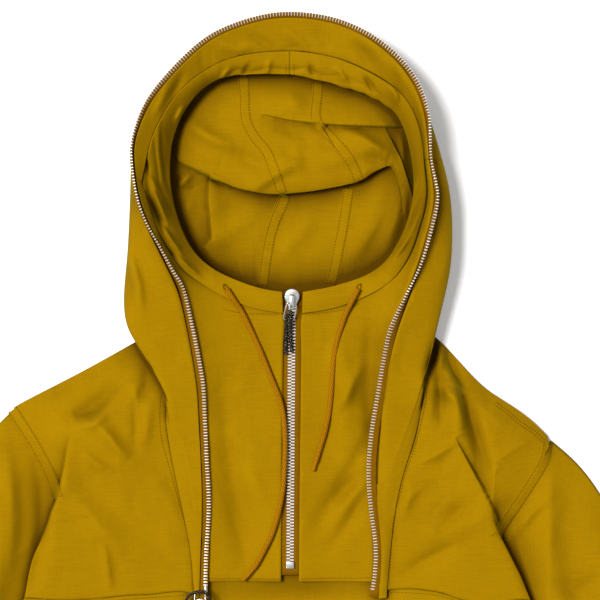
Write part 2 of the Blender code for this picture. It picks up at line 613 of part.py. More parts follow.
NECK_TURN = math.radians(12)
neck_pivot = slider("neck_zip_slider", 2.0, 296.5, 31.4)
pull("neck_zip_pull", neck_pivot, NECK_TURN, 3.0, PULL_LONG, -1)
tag("neck_zip_pull_cord", neck_pivot, [
    (-0.2, 289.0, 36.6, 2.6, 1.4), (-0.6, 286.5, 36.9, 3.6, 1.7), (-1.0, 283.0, 37.3, 4.0, 1.7),
    (-1.4, 279.5, 37.8, 4.0, 1.5), (-1.8, 276.0, 37.4, 4.0, 1.5), (-2.2, 271.0, 35.2, 4.2, 1.6),
    (-2.6, 262.0, 34.6, 4.5, 1.7), (-2.8, 253.0, 34.0, 4.8, 1.7), (-2.8, 245.0, 33.6, 4.8, 1.6),
])

HOOD_PULL_LONG = 21.0
HOOD_TAG = [  # x, y, z of the short cord looped over the foot of the long zip's pull
    (-104.5, -3, 26.8), (-103, 1.5, 28.8), (-99.5, 5.5, 31.0), (-95, 7.9, 32.4), (-90, 8.6, 32.7),
    (-85.5, 8.0, 32.5), (-82.0, 5.2, 31.5), (-80.6, 1.0, 29.6), (-80.2, -3, 27.8),
]
TAG_RADIUS = 1.5
hood_pivot = slider("hood_zip_slider", -90.0, -13.2, 23.2)
pull("hood_zip_pull", hood_pivot, 0.0, 0.2, HOOD_PULL_LONG, 1)
on_axis(bar("hood_zip_pull_cord", tube(HOOD_TAG, TAG_RADIUS, 6), TAG_FINISH), hood_pivot)


# ---------------------------------------------------------------- the chest
# Each chest panel: rows from the chest seam up to the shoulder, columns from the princess seam out
# over the ridge beside the armhole, and down or back under it to the armhole seam.

SEWN_UP = 2.1          # how far the body's edge lies above the sleeve's at the armhole
RIDGE_BULGE = 9.0      # how far the fold at the ridge swells outwards
CHEST_LEFT = [  # place on the long zip, ridge x, y, z, armhole x, y, z
    (0, -254, 3, 24, -244, -4, 9),
    (1, -246, 40, 26, -233, 36, 9.5),
    (1.6, -234, 72, 27, -229, 76, 10),
    (2.3, -224, 112, 28, -232, 112, 11.5),
    (3, -216, 144, 28, -244, 138, 13),
    (4, -210, 168, 27, -256, 158, 12.5),
    (5, -211, 184, 22, -266, 173, 10),
    (6.3, -206, 207, 14, -273, 183, 6.5),
    (7.6, -198, 224, 6.5, -277, 189, 4),
    (8.9, -190, 238, 2.7, -277.5, 192, 2.7),
]
CHEST_RIGHT = [
    (38, 250, 3, 24, 240, -4, 9),
    (36, 236, 40, 26, 224, 38, 9.5),
    (34.9, 218, 74, 27, 211, 76, 10),
    (34, 200, 112, 28, 220, 96, 11.5),
    (33, 188, 138, 28, 240, 117, 13),
    (32.2, 178, 158, 27, 252, 138, 12.5),
    (31.4, 182, 178, 23, 259, 150, 9),
    (30.3, 184, 202, 14, 260, 156, 6),
    (29.2, 180, 220, 6.5, 259, 160, 4),
    (28.1, 176, 231, 2.7, 258, 163, 2.7),
]
SHOULDER = [  # x, how far the shoulder stands off its straight line
    (-280, 0), (-170, 0), (90, 0), (120, 5), (145, 9), (165, 4), (190, -5), (210, -2), (240, 4), (262, 0),
]
STRIP_OVER = 2.1       # how far the hood's side strip lies above the chest panel it is sewn to


def panel_lines(rows, flat, turn):
    """Lines of points over a panel: at each flat share to its ridge, and turn more down to its edge."""
    inner, ridge, edge = rows[:, 0:3], rows[:, 3:6], rows[:, 6:9]
    out = ridge - inner
    out[:, 2] = 0
    out /= np.linalg.norm(out, axis=1, keepdims=True)
    lines = []
    for share in (flat if isinstance(flat, list) else np.linspace(0, 1, flat)):
        point = inner * (1 - share) + ridge * share
        lines.append(point)
    past = np.einsum("ij,ij->i", edge - ridge, out)[:, None]
    over = ease((12 - past) / 24)
    rise = np.minimum(1, (ridge[:, 2:3] - edge[:, 2:3]) / 12)
    first = ridge + out * (RIDGE_BULGE * over * rise + np.maximum(past, 0) * 0.35)
    second = edge + out * (RIDGE_BULGE * over * rise - np.maximum(past, 0) * 0.3) + UP * (1 - over) * 1.5
    for share in np.linspace(0, 1, turn + 1)[1:]:
        rest = 1 - share
        lines.append(ridge * rest**3 + first * 3 * rest**2 * share + second * 3 * rest * share**2 + edge * share**3)
    return np.stack(lines, axis=1)


FOLDS = [  # soft ridges and troughs of the body: from x, y to x, y, height, half width
    (-223, 178, -150, 160, 3.0, 16),
    (-205, 170, -170, 90, 2.5, 14),
    (-165, 140, -130, 40, 3.0, 18),
    (145, 190, 150, 130, 2.6, 10),
    (125, 120, 180, 40, 3.0, 16),
    (190, 150, 232, 40, -2.0, 14),
    (-180, -60, -90, -220, 3.5, 30),
    (170, -80, 70, -260, 3.5, 32),
    (-60, -120, 40, -330, 3.0, 34),
]


def folds(grid, fade):
    """Raises the grid by the body's soft ridges, as far as fade allows."""
    grid = grid.copy()
    for x1, y1, x2, y2, high, wide in FOLDS:
        start = np.array([x1, y1], float)
        way = np.array([x2 - x1, y2 - y1], float)
        share = np.clip(((grid[:, :, :2] - start) @ way) / (way @ way), 0, 1)
        off = np.linalg.norm(grid[:, :, :2] - start - share[:, :, None] * way, axis=2)
        grid[:, :, 2] += high * np.exp(-(off / wide) ** 2) * fade
    return grid


def chest_grid(table, steps=2, flat=7, turn=5):
    """Grid of one chest panel."""
    knots = np.arange(len(table))
    rows = spline(knots, table, np.linspace(0, len(table) - 1, steps * (len(table) - 1) + 1))
    inner = rib_controls(rows[:, 0])[:, -1] - UP * STRIP_OVER
    inner[0, 1] = CHEST_SEAM
    rows = np.concatenate([inner, rows[:, 1:]], axis=1)
    rows[:, 8] += SEWN_UP
    grid = panel_lines(rows, flat, turn)
    up = np.linspace(0, 1, grid.shape[0])[:, None]
    on_top = np.concatenate([np.sin(np.pi * np.linspace(0, 1, flat)) ** 0.7, np.zeros(turn)])[None, :]
    grid = folds(grid, np.sin(np.pi * up) ** 0.5 * on_top)
    lift = spline([x for x, _ in SHOULDER], [[off] for _, off in SHOULDER], grid[:, :, 0].ravel())
    grid[:, :, 1] += lift.reshape(grid.shape[:2]) * up**3
    return grid


chest = {"chest_left": chest_grid(CHEST_LEFT), "chest_right": chest_grid(CHEST_RIGHT)}
for name, grid in chest.items():
    wall(name, draw_in(grid, first_row=SEAM, first_column=SEAM), CLOTH_FINISH)


# ---------------------------------------------------------------- the hood's panels

def height_at(grid, points):
    """Height of a grid's surface at each point in plan; far below everything where it has none."""
    a, b = grid[:-1, :-1].reshape(-1, 3), grid[:-1, 1:].reshape(-1, 3)
    c, d = grid[1:, 1:].reshape(-1, 3), grid[1:, :-1].reshape(-1, 3)
    first, second, third = np.concatenate([a, a]), np.concatenate([b, c]), np.concatenate([c, d])
    u, v = second - first, third - first
    size = u[:, 0] * v[:, 1] - u[:, 1] * v[:, 0]
    size = np.where(np.abs(size) < 1e-6, 1e-6, size)
    high = []
    for point in points:
        w = point[:2] - first[:, :2]
        s = (w[:, 0] * v[:, 1] - w[:, 1] * v[:, 0]) / size
        t = (u[:, 0] * w[:, 1] - u[:, 1] * w[:, 0]) / size
        inside = (s >= 0) & (t >= 0) & (s + t <= 1)
        z = first[:, 2] + s * u[:, 2] + t * v[:, 2]
        high.append(z[inside].max() if inside.any() else -1000.0)
    return np.array(high)


def lie_over(grid, under, clear, reach):
    """Lifts a grid's lines where they lie on another surface, or within reach of its edge."""
    lifted = grid.copy()
    for row, line in zip(lifted, grid):
        need = height_at(under, line)
        for angle in np.arange(8) * math.pi / 4:
            need = np.maximum(need, height_at(under, line + np.array([math.cos(angle), math.sin(angle), 0]) * reach))
        lift = np.maximum(need + clear - line[:, 2], 0)
        long = np.concatenate([[0], np.cumsum(np.linalg.norm(np.diff(line, axis=0), axis=1))])
        near = np.exp(-((long[:, None] - long[None, :]) / LIFT_WIDE) ** 2)
        row[:, 2] += (near * lift[None, :]).max(axis=1)
    return lifted


SEAM_STEP = 0.009      # share of a zip row that leaves the seam's space between hood panels
LIFT_WIDE = 10.0       # how softly a lifted line comes down again
LAP_REACH = 4.0        # how far round about it the hood keeps clear of the chest's edge
HOOD_AT = {
    "hood_left": places(0.0, LEFT_SEAM - SEAM_STEP, extra=(4.5, 15.25)),
    "hood_centre": places(LEFT_SEAM + SEAM_STEP, RIGHT_SEAM - SEAM_STEP),
    "hood_right": places(RIGHT_SEAM + SEAM_STEP, 38.0, extra=(31.5,)),
}
OVERHANG = (4.3, 32.2)     # between these places the hood lies over the chest
hood = {}
for name, at in HOOD_AT.items():
    hood[name] = rib_grid(at)
    over = (at > OVERHANG[0]) & (at < OVERHANG[1])
    for below in chest.values():
        hood[name][over] = lie_over(hood[name][over], below, STRIP_OVER, LAP_REACH)
for name, grid in hood.items():
    wall(name, grid, CLOTH_FINISH)


# ---------------------------------------------------------------- the lower front
# Rows from the chest seam down to the hem. The ridge and the edge follow the armhole to the underarm
# and then the side seam. Between the long zip's ends it lies lower, as the pocket's mouth.

LOWER = [  # y, left ridge x, z, left edge x, y, z, right ridge x, z, right edge x, y, z
    (3, -254, 24, -244, -4, 11.1, 250, 24, 240, -4, 11.1),
    (-20, -262, 23, -251, -24, 11.5, 260, 23, 250, -24, 11.5),
    (-45, -271, 21, -266, -48, 10.5, 267, 21, 262, -48, 10.5),
    (-68, -275, 17, -282, -69, 7.5, 266, 17, 272, -72, 7.5),
    (-95, -272, 13, -287, -96, 2.9, 262, 14, 277, -97, 2.9),
    (-140, -266, 13, -285, -140, 2.75, 257, 14, 275, -140, 2.75),
    (-220, -262, 13, -281, -220, 2.75, 254, 13, 272, -220, 2.75),
    (-320, -258, 12, -277, -320, 2.75, 252, 12, 269, -320, 2.75),
    (HEM, -254, 11, -273, HEM, 2.75, 250, 11, 265, HEM, 2.75),
]
LOWER_MIDDLE = (-3.0, 20.5)    # x and z of its middle at the chest seam
LOWER_SHARES = [0, 0.17, 0.3, 0.335, 0.36, 0.385, 0.41, 0.45, 0.58, 0.78, 1]   # columns, middle to ridge
POCKET_LIP = 22.0      # how far the lower front runs up under the bib, from the chest seam
POCKET_LOW = 6.0       # how far it lies below there


def lower_grid(turn=4):
    """Grid of the lower front, from the left edge over both ridges to the right edge."""
    rows = spline(np.arange(len(LOWER)), LOWER, np.linspace(0, len(LOWER) - 1, 13))
    middle_x, middle_z = LOWER_MIDDLE
    y = rows[:, 0]
    middle = np.stack([np.full(len(y), middle_x), y, np.full(len(y), middle_z)], axis=1)
    halves = []
    for side in (1, 6):
        ridge = np.stack([rows[:, side], y, rows[:, side + 1]], axis=1)
        halves.append(panel_lines(np.concatenate([middle, ridge, rows[:, side + 2:side + 5]], axis=1),
                                  LOWER_SHARES, turn))
    grid = np.concatenate([halves[0][:, ::-1], halves[1][:, 1:]], axis=1)
    x = grid[:, :, 0]
    down = (CHEST_SEAM - grid[:, :, 1]) / (CHEST_SEAM - HEM)
    inside = ease((255 - np.abs(x)) / 80)
    grid[:, :, 2] -= 4.0 * ease(down * 2) * inside
    on_top = np.ones(grid.shape[1])
    on_top[:turn] = 0
    on_top[-turn:] = 0
    grid = folds(grid, np.sin(np.pi * np.clip(down, 0, 1) * 0.75) * inside * on_top[None, :])
    mouth = ease((112 - np.abs(x)) / 14) * ease(1 - (CHEST_SEAM - grid[:, :, 1]) / 46)
    grid[:, :, 2] -= POCKET_LOW * mouth
    grid[0, :, 1] += POCKET_LIP * ease((93 - np.abs(x[0] + 1.5)) / 7)
    return grid


wall("front_lower", draw_in(lower_grid(), first_row=SEAM), CLOTH_FINISH)


# ---------------------------------------------------------------- the back
# One flat panel on the floor; its outline is the neck, the shoulders, the armholes and the hem.

BACK_EDGE = [  # x, y, from the left hem corner up and round to the right one
    (-273, HEM), (-277, -320), (-281, -220), (-285, -140), (-287, -96), (-282, -71), (-264, -48),
    (-249, -24), (-242, -4), (-231, 36), (-227, 76), (-230, 112), (-242, 138), (-254, 158), (-266, 176),
    (-277, 190), (-252, 204), (-224, 219.5), (-170, 248.5), (-99, 287), (-86, 281), (-72, 275.2),
    (-60, 270.3), (-52, 268.4), (-30, 265.5), (0, 264.4), (30, 265.4), (55, 269.9), (72, 276.3), (88, 284),
    (100, 286), (145, 260), (165, 241), (190, 212.5), (210, 199.5), (240, 181), (257, 164), (250, 138),
    (238, 117), (218, 96), (209, 76), (222, 38), (238, -4), (248, -24), (260, -48), (272, -74), (277, -97),
    (275, -140), (272, -220), (269, -320), (265, HEM),
]


def flat_panel(name, outline, thick, finish):
    """A flat sheet on the floor with the outline given."""
    shape = bmesh.new()
    ring = [shape.verts.new((x * MM, y * MM, 0)) for x, y in outline]
    face = shape.faces.new(ring)
    raised = bmesh.ops.extrude_face_region(shape, geom=[face])
    moved = [v for v in raised["geom"] if isinstance(v, bmesh.types.BMVert)]
    bmesh.ops.translate(shape, verts=moved, vec=(0, 0, thick * MM))
    bmesh.ops.recalc_face_normals(shape, faces=shape.faces)
    mesh = bpy.data.meshes.new(name)
    shape.to_mesh(mesh)
    shape.free()
    mesh.materials.append(finish)
    made = bpy.data.objects.new(name, mesh)
    bpy.context.collection.objects.link(made)
    return made


flat_panel("back", BACK_EDGE, CLOTH, CLOTH_FINISH)


# ---------------------------------------------------------------- the sleeves
# Tubes pressed flat: stations from the armhole down to the hem, each a ring over the top from the
# outer fold to the inner fold and back along the floor.

ARMHOLE_LEFT = [  # x, y, height of the sleeve's upper layer there
    (-278, 189, 2.6), (-266, 173, 10), (-256, 158, 12.5), (-244, 138, 13), (-232, 112, 11.5),
    (-229, 76, 10), (-233, 36, 9.5), (-244, -4, 9), (-251, -24, 8.6), (-266, -48, 6.0), (-284, -71, 2.6),
]
ARMHOLE_RIGHT = [
    (260, 160, 2.6), (260, 150, 9), (252, 138, 12.5), (240, 117, 13), (220, 96, 11.5),
    (211, 76, 10), (224, 38, 9.5), (240, -4, 9), (250, -24, 8.6), (262, -48, 6.0), (274, -74, 2.6),
]
SLEEVE_LEFT = [  # share of the length, outer fold x, y, inner fold x, y, height of the upper layer
    (0.10, -305, 162, -296, -92, 10.5),
    (0.22, -334, 118, -309, -130, 15),
    (0.38, -369, 46, -327, -184, 17),
    (0.58, -414, -62, -353, -258, 17),
    (0.80, -461, -190, -385, -342, 14),
    (1.00, -505, -322, -415, -403, 9),
]
SLEEVE_RIGHT = [
    (0.10, 290, 134, 287, -96, 10.5),
    (0.22, 318, 94, 300, -136, 15),
    (0.38, 350, 30, 318, -190, 17),
    (0.58, 392, -72, 344, -264, 17),
    (0.80, 440, -206, 376, -348, 14),
    (1.00, 484, -340, 394, -414, 9),
]
ACROSS = 11            # points over the sleeve's upper layer


def sleeve_grid(armhole, table, stations):
    """Grid of a sleeve: rings along it, each over the top and back along the floor."""
    share = np.linspace(0, 1, ACROSS)
    first = along(armhole, share)
    top_rows = [first]
    plan_first = first[:, :2]
    for _, ox, oy, ix, iy, high in table:
        line = np.stack([ox + (ix - ox) * share, oy + (iy - oy) * share], axis=1)
        z = FLOOR + 1.6 + (high - FLOOR - 1.6) * np.sin(np.pi * share) ** 0.45
        top_rows.append(np.concatenate([line, z[:, None]], axis=1))
    knots = np.array([0.0] + [row[0] for row in table])
    bow = plan_first - (plan_first[:1] * (1 - share[:, None]) + plan_first[-1:] * share[:, None])
    for k, row in enumerate(table):
        top_rows[k + 1][:, :2] += bow * max(0, 1 - row[0] / 0.45) ** 1.5
    top_rows = np.array(top_rows)
    at = np.linspace(0, 1, stations) ** 1.15
    top = spline(knots, top_rows.reshape(len(knots), -1), at).reshape(stations, ACROSS, 3)
    bottom = top[:, 1:-1][:, ::-1].copy()
    bottom[:, :, 2] = FLOOR
    top[:, 0, 2] = FLOOR + 1.6
    top[:, -1, 2] = FLOOR + 1.6
    return np.concatenate([top, bottom], axis=1)


for name, armhole, table in (("sleeve_left", ARMHOLE_LEFT, SLEEVE_LEFT), ("sleeve_right", ARMHOLE_RIGHT, SLEEVE_RIGHT)):
    grid = sleeve_grid(armhole, table, 15)
    wall(name, draw_in(grid, first_row=SEAM + 2.0), CLOTH_FINISH, ring=True)


# ---------------------------------------------------------------- the drawcord's two ends
# Each comes out of the tunnel beside the quarter zip and lies down over the bib.

CORD_LEFT = [  # x, y
    (-63, 311), (-61, 307), (-52, 295), (-40, 272), (-30, 250), (-20, 225), (-12, 206), (-6.5, 184), (-5, 163),
    (-5.3, 136), (-7, 112), (-11, 90), (-18, 66), (-28, 46), (-35, 33), (-48, 18.5),
]
CORD_RIGHT = [
    (68, 311), (66, 306), (60, 296), (52, 276), (46, 255), (43, 233), (41.5, 213), (39, 189), (34, 165),
    (28, 146), (23, 128.5),
]
CORD_STEP = 13.0       # space between a cord's points


def drawcord(name, plan, exit_over):
    """A round cord lying on the bib and the tunnel, its first point standing out of the eyelet."""
    plan = np.array(plan, float)
    long = np.linalg.norm(np.diff(plan, axis=0), axis=1).sum()
    at = np.linspace(0, 1, int(long / CORD_STEP) + 1)
    line = np.concatenate([along(plan, at), np.zeros((len(at), 1))], axis=1)
    rests = np.full(len(line), -1000.0)
    for angle in np.arange(8) * math.pi / 4:
        beside = line + np.array([math.cos(angle), math.sin(angle), 0]) * CORD * 0.65
        for under in (*inner.values(), *bands.values()):
            rests = np.maximum(rests, height_at(under, beside))
    line[:, 2] = rests + CLOTH / 2 + CLEAR + CORD / 2
    line[0, 2] += exit_over
    curve = bpy.data.curves.new(name, "CURVE")
    curve.dimensions = "3D"
    curve.bevel_depth = CORD / 2 * MM
    curve.bevel_resolution = 2
    curve.use_fill_caps = True
    run = curve.splines.new("POLY")
    run.points.add(len(line) - 1)
    for point, place in zip(run.points, line):
        point.co = (*(place * MM), 1)
    curve.materials.append(CORD_FINISH)
    made = bpy.data.objects.new(name, curve)
    bpy.context.collection.objects.link(made)
    return made


EXIT_OVER = 0.6        # how much higher a cord starts, where it comes up out of its eyelet
drawcord("cord_left", CORD_LEFT, EXIT_OVER)
drawcord("cord_right", CORD_RIGHT, EXIT_OVER)
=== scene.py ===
"""An anorak pullover laid flat on its back, front up, its hood open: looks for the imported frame.

Metres throughout, +Z up, +Y from the hem to the hood. Tables are in millimetres, as a pattern
cutter measures, and are turned to metres where they are used.
"""
import math

import bmesh
import bpy
import numpy as np
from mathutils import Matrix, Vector
from mathutils.bvhtree import BVHTree


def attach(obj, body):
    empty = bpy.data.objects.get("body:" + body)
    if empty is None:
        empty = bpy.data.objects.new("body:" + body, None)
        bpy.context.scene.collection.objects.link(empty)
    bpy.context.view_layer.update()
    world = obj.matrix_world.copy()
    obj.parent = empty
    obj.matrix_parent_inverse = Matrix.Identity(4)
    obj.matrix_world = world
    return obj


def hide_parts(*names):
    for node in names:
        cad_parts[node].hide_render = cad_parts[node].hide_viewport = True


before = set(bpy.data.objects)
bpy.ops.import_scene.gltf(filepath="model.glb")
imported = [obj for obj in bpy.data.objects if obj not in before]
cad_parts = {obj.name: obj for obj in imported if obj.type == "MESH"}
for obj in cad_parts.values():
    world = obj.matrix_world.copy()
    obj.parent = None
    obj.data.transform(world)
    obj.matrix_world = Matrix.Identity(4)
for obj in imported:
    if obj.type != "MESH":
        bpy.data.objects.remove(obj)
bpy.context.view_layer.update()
scene = bpy.context.scene


# ---------------------------- camera, floor and light
# A long lens looks straight down at the chest and hood. One broad soft lamp stands up and to the
# left of them over a white floor, so the hood's shadow falls to the right.
CAMERA_HIGH = 4.0
VIEW_WIDE = 0.600
SENSOR_WIDE = 36
AIM = (0.010, 0.300)
GARMENT_HIGH = 0.028         # height at which the view is VIEW_WIDE across
LAMP_LOW = math.radians(26)  # the lamp's tilt from straight overhead
LAMP_FROM = math.radians(163)    # where it stands round the garment, from +X towards +Y
FAR = 40                     # half the floor's width


def set_out(name, data):
    """A new object in the scene."""
    made = bpy.data.objects.new(name, data)
    scene.collection.objects.link(made)
    return made


def feed(node, inputs):
    """Sets a shader or geometry node's inputs, or links them where another's output is given."""
    for label, value in inputs.items():
        if isinstance(value, bpy.types.NodeSocket):
            node.id_data.links.new(value, node.inputs[label])
        else:
            node.inputs[label].default_value = value


def new_finish(name, inputs):
    """A material with its shader's inputs set, its node tree, and the shader."""
    made = bpy.data.materials.new(name)
    made.use_nodes = True
    shader = made.node_tree.nodes["Principled BSDF"]
    feed(shader, inputs)
    return made, made.node_tree, shader


camera = set_out("camera", bpy.data.cameras.new("camera"))
camera.data.sensor_width = SENSOR_WIDE
camera.data.lens = SENSOR_WIDE * (CAMERA_HIGH - GARMENT_HIGH) / VIEW_WIDE
camera.data.clip_end = 100
camera.location = (*AIM, CAMERA_HIGH)
scene.camera = camera

lamp = set_out("lamp", bpy.data.lights.new("lamp", "SUN"))
lamp.data.energy = 3.65
lamp.data.angle = math.radians(20)
lamp.rotation_euler = (0, LAMP_LOW, LAMP_FROM)

world = bpy.data.worlds.new("pale room")
world.use_nodes = True
feed(world.node_tree.nodes["Background"], {"Color": (1.0, 1.0, 1.0, 1), "Strength": 0.32})
scene.world = world
scene.view_settings.view_transform = "Standard"

floor_mesh = bpy.data.meshes.new("floor")
floor_mesh.from_pydata([(-FAR, -FAR, 0), (FAR, -FAR, 0), (FAR, FAR, 0), (-FAR, FAR, 0)], [], [(0, 1, 2, 3)])
floor_mesh.materials.append(new_finish("floor", {
    "Base Color": (0.95, 0.95, 0.95, 1), "Emission Color": (1, 1, 1, 1), "Emission Strength": 0.2,
    "Roughness": 1.0, "Specular IOR Level": 0.0})[0])
set_out("floor", floor_mesh)


# ---------------------------- the drawcord's two ends
# A round braid of twelve cotton strands, copper brown, about 5 mm thick. Each end comes up through
# a buttonhole in the tunnel round the face and lies on the bib; its tip is bound hard and thinner.
MM = 0.001
CORD = 0.0054
CORD_LEFT = [  # x, y, z of points along its middle
    (-63, 311, 41.6), (-55.9, 300, 40.2), (-48.5, 289.1, 36.5), (-42.6, 277.4, 36), (-36.9, 265.5, 35.1),
    (-31.5, 253.5, 34.2), (-26.4, 241.3, 33.8), (-21.6, 229.1, 33.6), (-16.5, 216.9, 33.3),
    (-11.6, 204.7, 33.2), (-8, 192, 32.8), (-5.9, 179.1, 32), (-5.1, 165.9, 31.1), (-4.9, 152.8, 30.5),
    (-5.2, 139.6, 29.8), (-5.8, 126.4, 29.1), (-6.8, 113.3, 28.7), (-8.8, 100.3, 28.3),
    (-11.6, 87.4, 27.7), (-15, 74.7, 26.9), (-19.5, 62.4, 25.9), (-25.5, 50.6, 24.7), (-31.6, 38.9, 23.5),
    (-38.9, 28.1, 22.6), (-48, 18.5, 21.7),
]
CORD_RIGHT = [
    (68, 311, 41.5), (61.8, 299, 40.4), (55.9, 286.9, 36.5), (51.4, 274.1, 34.6), (47.4, 261.1, 33.5),
    (44.7, 247.9, 32.7), (43.1, 234.4, 32.1), (42.1, 220.9, 31.5), (41, 207.4, 30.9), (39.7, 194, 30.1),
    (37.6, 180.6, 29.5), (34.6, 167.4, 28.9), (30.7, 154.4, 28.4), (26.7, 141.5, 28.3), (23, 128.5, 28.1),
]


def spline(values, at):
    """Smooth curve through rows of values, read at the places given."""
    values = np.asarray(values, float)
    slope = np.diff(values, axis=0)
    tangent = np.vstack([slope[:1], (slope[1:] + slope[:-1]) / 2, slope[-1:]])
    k = np.clip(np.floor(at).astype(int), 0, len(slope) - 1)
    t = (at - k)[:, None]
    return (values[k] * (2 * t**3 - 3 * t**2 + 1) + tangent[k] * (t**3 - 2 * t**2 + t)
            + values[k + 1] * (3 * t**2 - 2 * t**3) + tangent[k + 1] * (t**3 - t**2))


def smooth_line(points, step):
    """Points a step apart on the smooth curve through the given ones, and how far along each is."""
    fine = spline(points, np.arange(12 * (len(points) - 1) + 1) / 12)
    run = np.concatenate([[0], np.cumsum(np.linalg.norm(np.diff(fine, axis=0), axis=1))])
    at = np.linspace(0, run[-1], max(2, int(round(run[-1] / step)) + 1))
    return np.stack([np.interp(at, run, fine[:, k]) for k in range(fine.shape[1])], axis=1), at


def frames_along(line):
    """Unit directions ahead, to the side and over at each point, turning as little as they can."""
    ahead = np.gradient(line, axis=0)
    ahead /= np.linalg.norm(ahead, axis=1, keepdims=True)
    over = np.zeros_like(line)
    last = np.array([0.0, 0.0, 1.0])
    for k, way in enumerate(ahead):
        last = last - way * last.dot(way)
        last /= np.linalg.norm(last)
        over[k] = last
    return ahead, np.cross(ahead, over), over


def finished(name, mesh, finish):
    """An object of the mesh, shaded smooth and in one finish."""
    mesh.shade_smooth()
    mesh.materials.clear()
    mesh.materials.append(finish)
    return set_out(name, mesh)


def tube_mesh(name, rings, finish, mask=None):
    """A smooth tube through rings of points, its ends closed; mask is kept as "strand"."""
    count, sides = rings.shape[:2]
    points = np.vstack([rings.reshape(-1, 3), rings[0].mean(axis=0), rings[-1].mean(axis=0)])
    around = [(k, (k + 1) % sides) for k in range(sides)]
    faces = [(r * sides + a, r * sides + b, (r + 1) * sides + b, (r + 1) * sides + a)
             for r in range(count - 1) for a, b in around]
    faces += [(count * sides, b, a) for a, b in around]
    faces += [(count * sides + 1, (count - 1) * sides + a, (count - 1) * sides + b) for a, b in around]
    mesh = bpy.data.meshes.new(name)
    mesh.from_pydata([tuple(p) for p in points], [], faces)
    if mask is not None:
        values = np.full(len(points), 0.6, np.float32)
        values[:mask.size] = mask.ravel()
        mesh.attributes.new("strand", "FLOAT", "POINT").data.foreach_set("value", values)
    shape = bmesh.new()
    shape.from_mesh(mesh)
    bmesh.ops.recalc_face_normals(shape, faces=shape.faces)
    shape.to_mesh(mesh)
    shape.free()
    return finished(name, mesh, finish)


STRANDS = 6         # of the braid, laid each way
BINDING = 0.002     # length over which a braid draws in to its bound tip
TIP_THICK = 0.72    # the bound tip's share of the full thickness


def braid(name, route, thick, finish, twist=0.029, around=32, step=0.0008, tip=0.0):
    """A round braid along a route: each strand goes over one and under the next."""
    line, run = smooth_line(route, step)
    ahead, side, over = frames_along(line)
    turn = np.arange(around) * 2 * math.pi / around
    one = STRANDS * (turn[None, :] / (2 * math.pi) + run[:, None] / twist)
    two = STRANDS * (-turn[None, :] / (2 * math.pi) + run[:, None] / twist)
    on_top = (np.floor(one) + np.floor(two)) % 2 < 1
    across = np.where(on_top, one - np.floor(one), two - np.floor(two)) * 2 - 1
    down = np.where(on_top, two - np.floor(two), one - np.floor(one)) * 2 - 1
    height = np.sqrt(np.clip(1 - 0.9 * across ** 2, 0, 1)) * (1 - 0.55 * down ** 4)
    left = run[-1] - run
    bound = np.clip((tip - left) / BINDING, 0, 1)[:, None]
    height = height * (1 - bound) + 0.75 * bound
    radius = thick / 2 * (0.80 + 0.20 * height) * (1 - (1 - TIP_THICK) * bound)
    end = np.minimum(run, left)[:, None]
    round_end = np.sqrt(np.clip(1 - (1 - np.clip(end / (thick * 0.35), 0, 1)) ** 2, 0.05, 1))
    radius = radius * np.where(left[:, None] < run[:, None], round_end, 1.0)
    rings = line[:, None, :] + side[:, None, :] * (radius * np.cos(turn))[..., None] \
        + over[:, None, :] * (radius * np.sin(turn))[..., None]
    return tube_mesh(name, rings, finish, mask=height)


def add(tree, kind, inputs=None, out=0, **settings):
    """Adds a node to a tree, sets it and feeds it, and gives one of its outputs."""
    node = tree.nodes.new(kind)
    for label, value in settings.items():
        setattr(node, label, value)
    feed(node, inputs or {})
    return node.outputs[out]


def noise(tree, scale, detail):
    """Noise in the piece's own space."""
    place = add(tree, "ShaderNodeTexCoord", out="Object")
    return add(tree, "ShaderNodeTexNoise", {"Vector": place, "Scale": scale, "Detail": detail})


def tones(tree, value, *stops):
    """Colours along a ramp, each at its place from 0 to 1."""
    colour = add(tree, "ShaderNodeValToRGB", {"Fac": value}, "Color")
    marks = colour.node.color_ramp.elements
    for mark, (place, tone) in zip(marks, (stops[0], stops[-1])):
        mark.position = place
        mark.color = (*tone, 1)
    for place, tone in stops[1:-1]:
        marks.new(place).color = (*tone, 1)
    return colour


def mixed(tree, share, one, other, blend="MIX"):
    """Two colours mixed."""
    return add(tree, "ShaderNodeMix", {"Factor": share, "A": one, "B": other}, "Result",
               data_type="RGBA", blend_type=blend)


def dress(shader, colour, height, strength, high):
    """Gives a shader its colour and a bumped surface."""
    bump = {"Height": height, "Strength": strength, "Distance": high}
    normal = add(shader.id_data, "ShaderNodeBump", bump)
    feed(shader, {"Base Color": colour, "Normal": normal})


def strand_finish(name, deep, crown, fleck, roughness, flecks=0.60):
    """Braided yarn: painted shade darkens it between the strands, and it is lighter on their crowns; finer
    fibres run across.
    """
    made, tree, shader = new_finish(name, {"Roughness": roughness, "Specular IOR Level": 0.05})
    fibre = noise(tree, 1600, 3)
    strand = add(tree, "ShaderNodeAttribute", out="Fac", attribute_name="strand")
    spots = tones(tree, fibre, (flecks, (0, 0, 0)), (flecks + 0.04, (1, 1, 1)))
    # painted shade: each point's height on the braid runs from the dark tone down between strands to the
    # crown tone on top
    yarn = tones(tree, strand, (0.12, deep), (0.80, crown))
    dress(shader, mixed(tree, spots, yarn, (*fleck, 1)), fibre, 0.35, 0.0003)
    return made


# the first, darkest tone of each braid finish is painted shade between its strands
CORD_YARN = strand_finish("cord_yarn", (0.030, 0.008, 0.0), (0.36, 0.145, 0.001), (0.45, 0.23, 0.003), 0.9)
for name, route, tip, long in (("cord_left", CORD_LEFT, 0.018, 0.3125),
                               ("cord_right", CORD_RIGHT, 0.010, 0.1935)):
    route = [tuple(round(far / 1000, 5) for far in point) for point in route]
    cord = braid(name + "_braid", route, CORD, CORD_YARN, tip=tip)
    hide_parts(name)
    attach(cord, "garment")


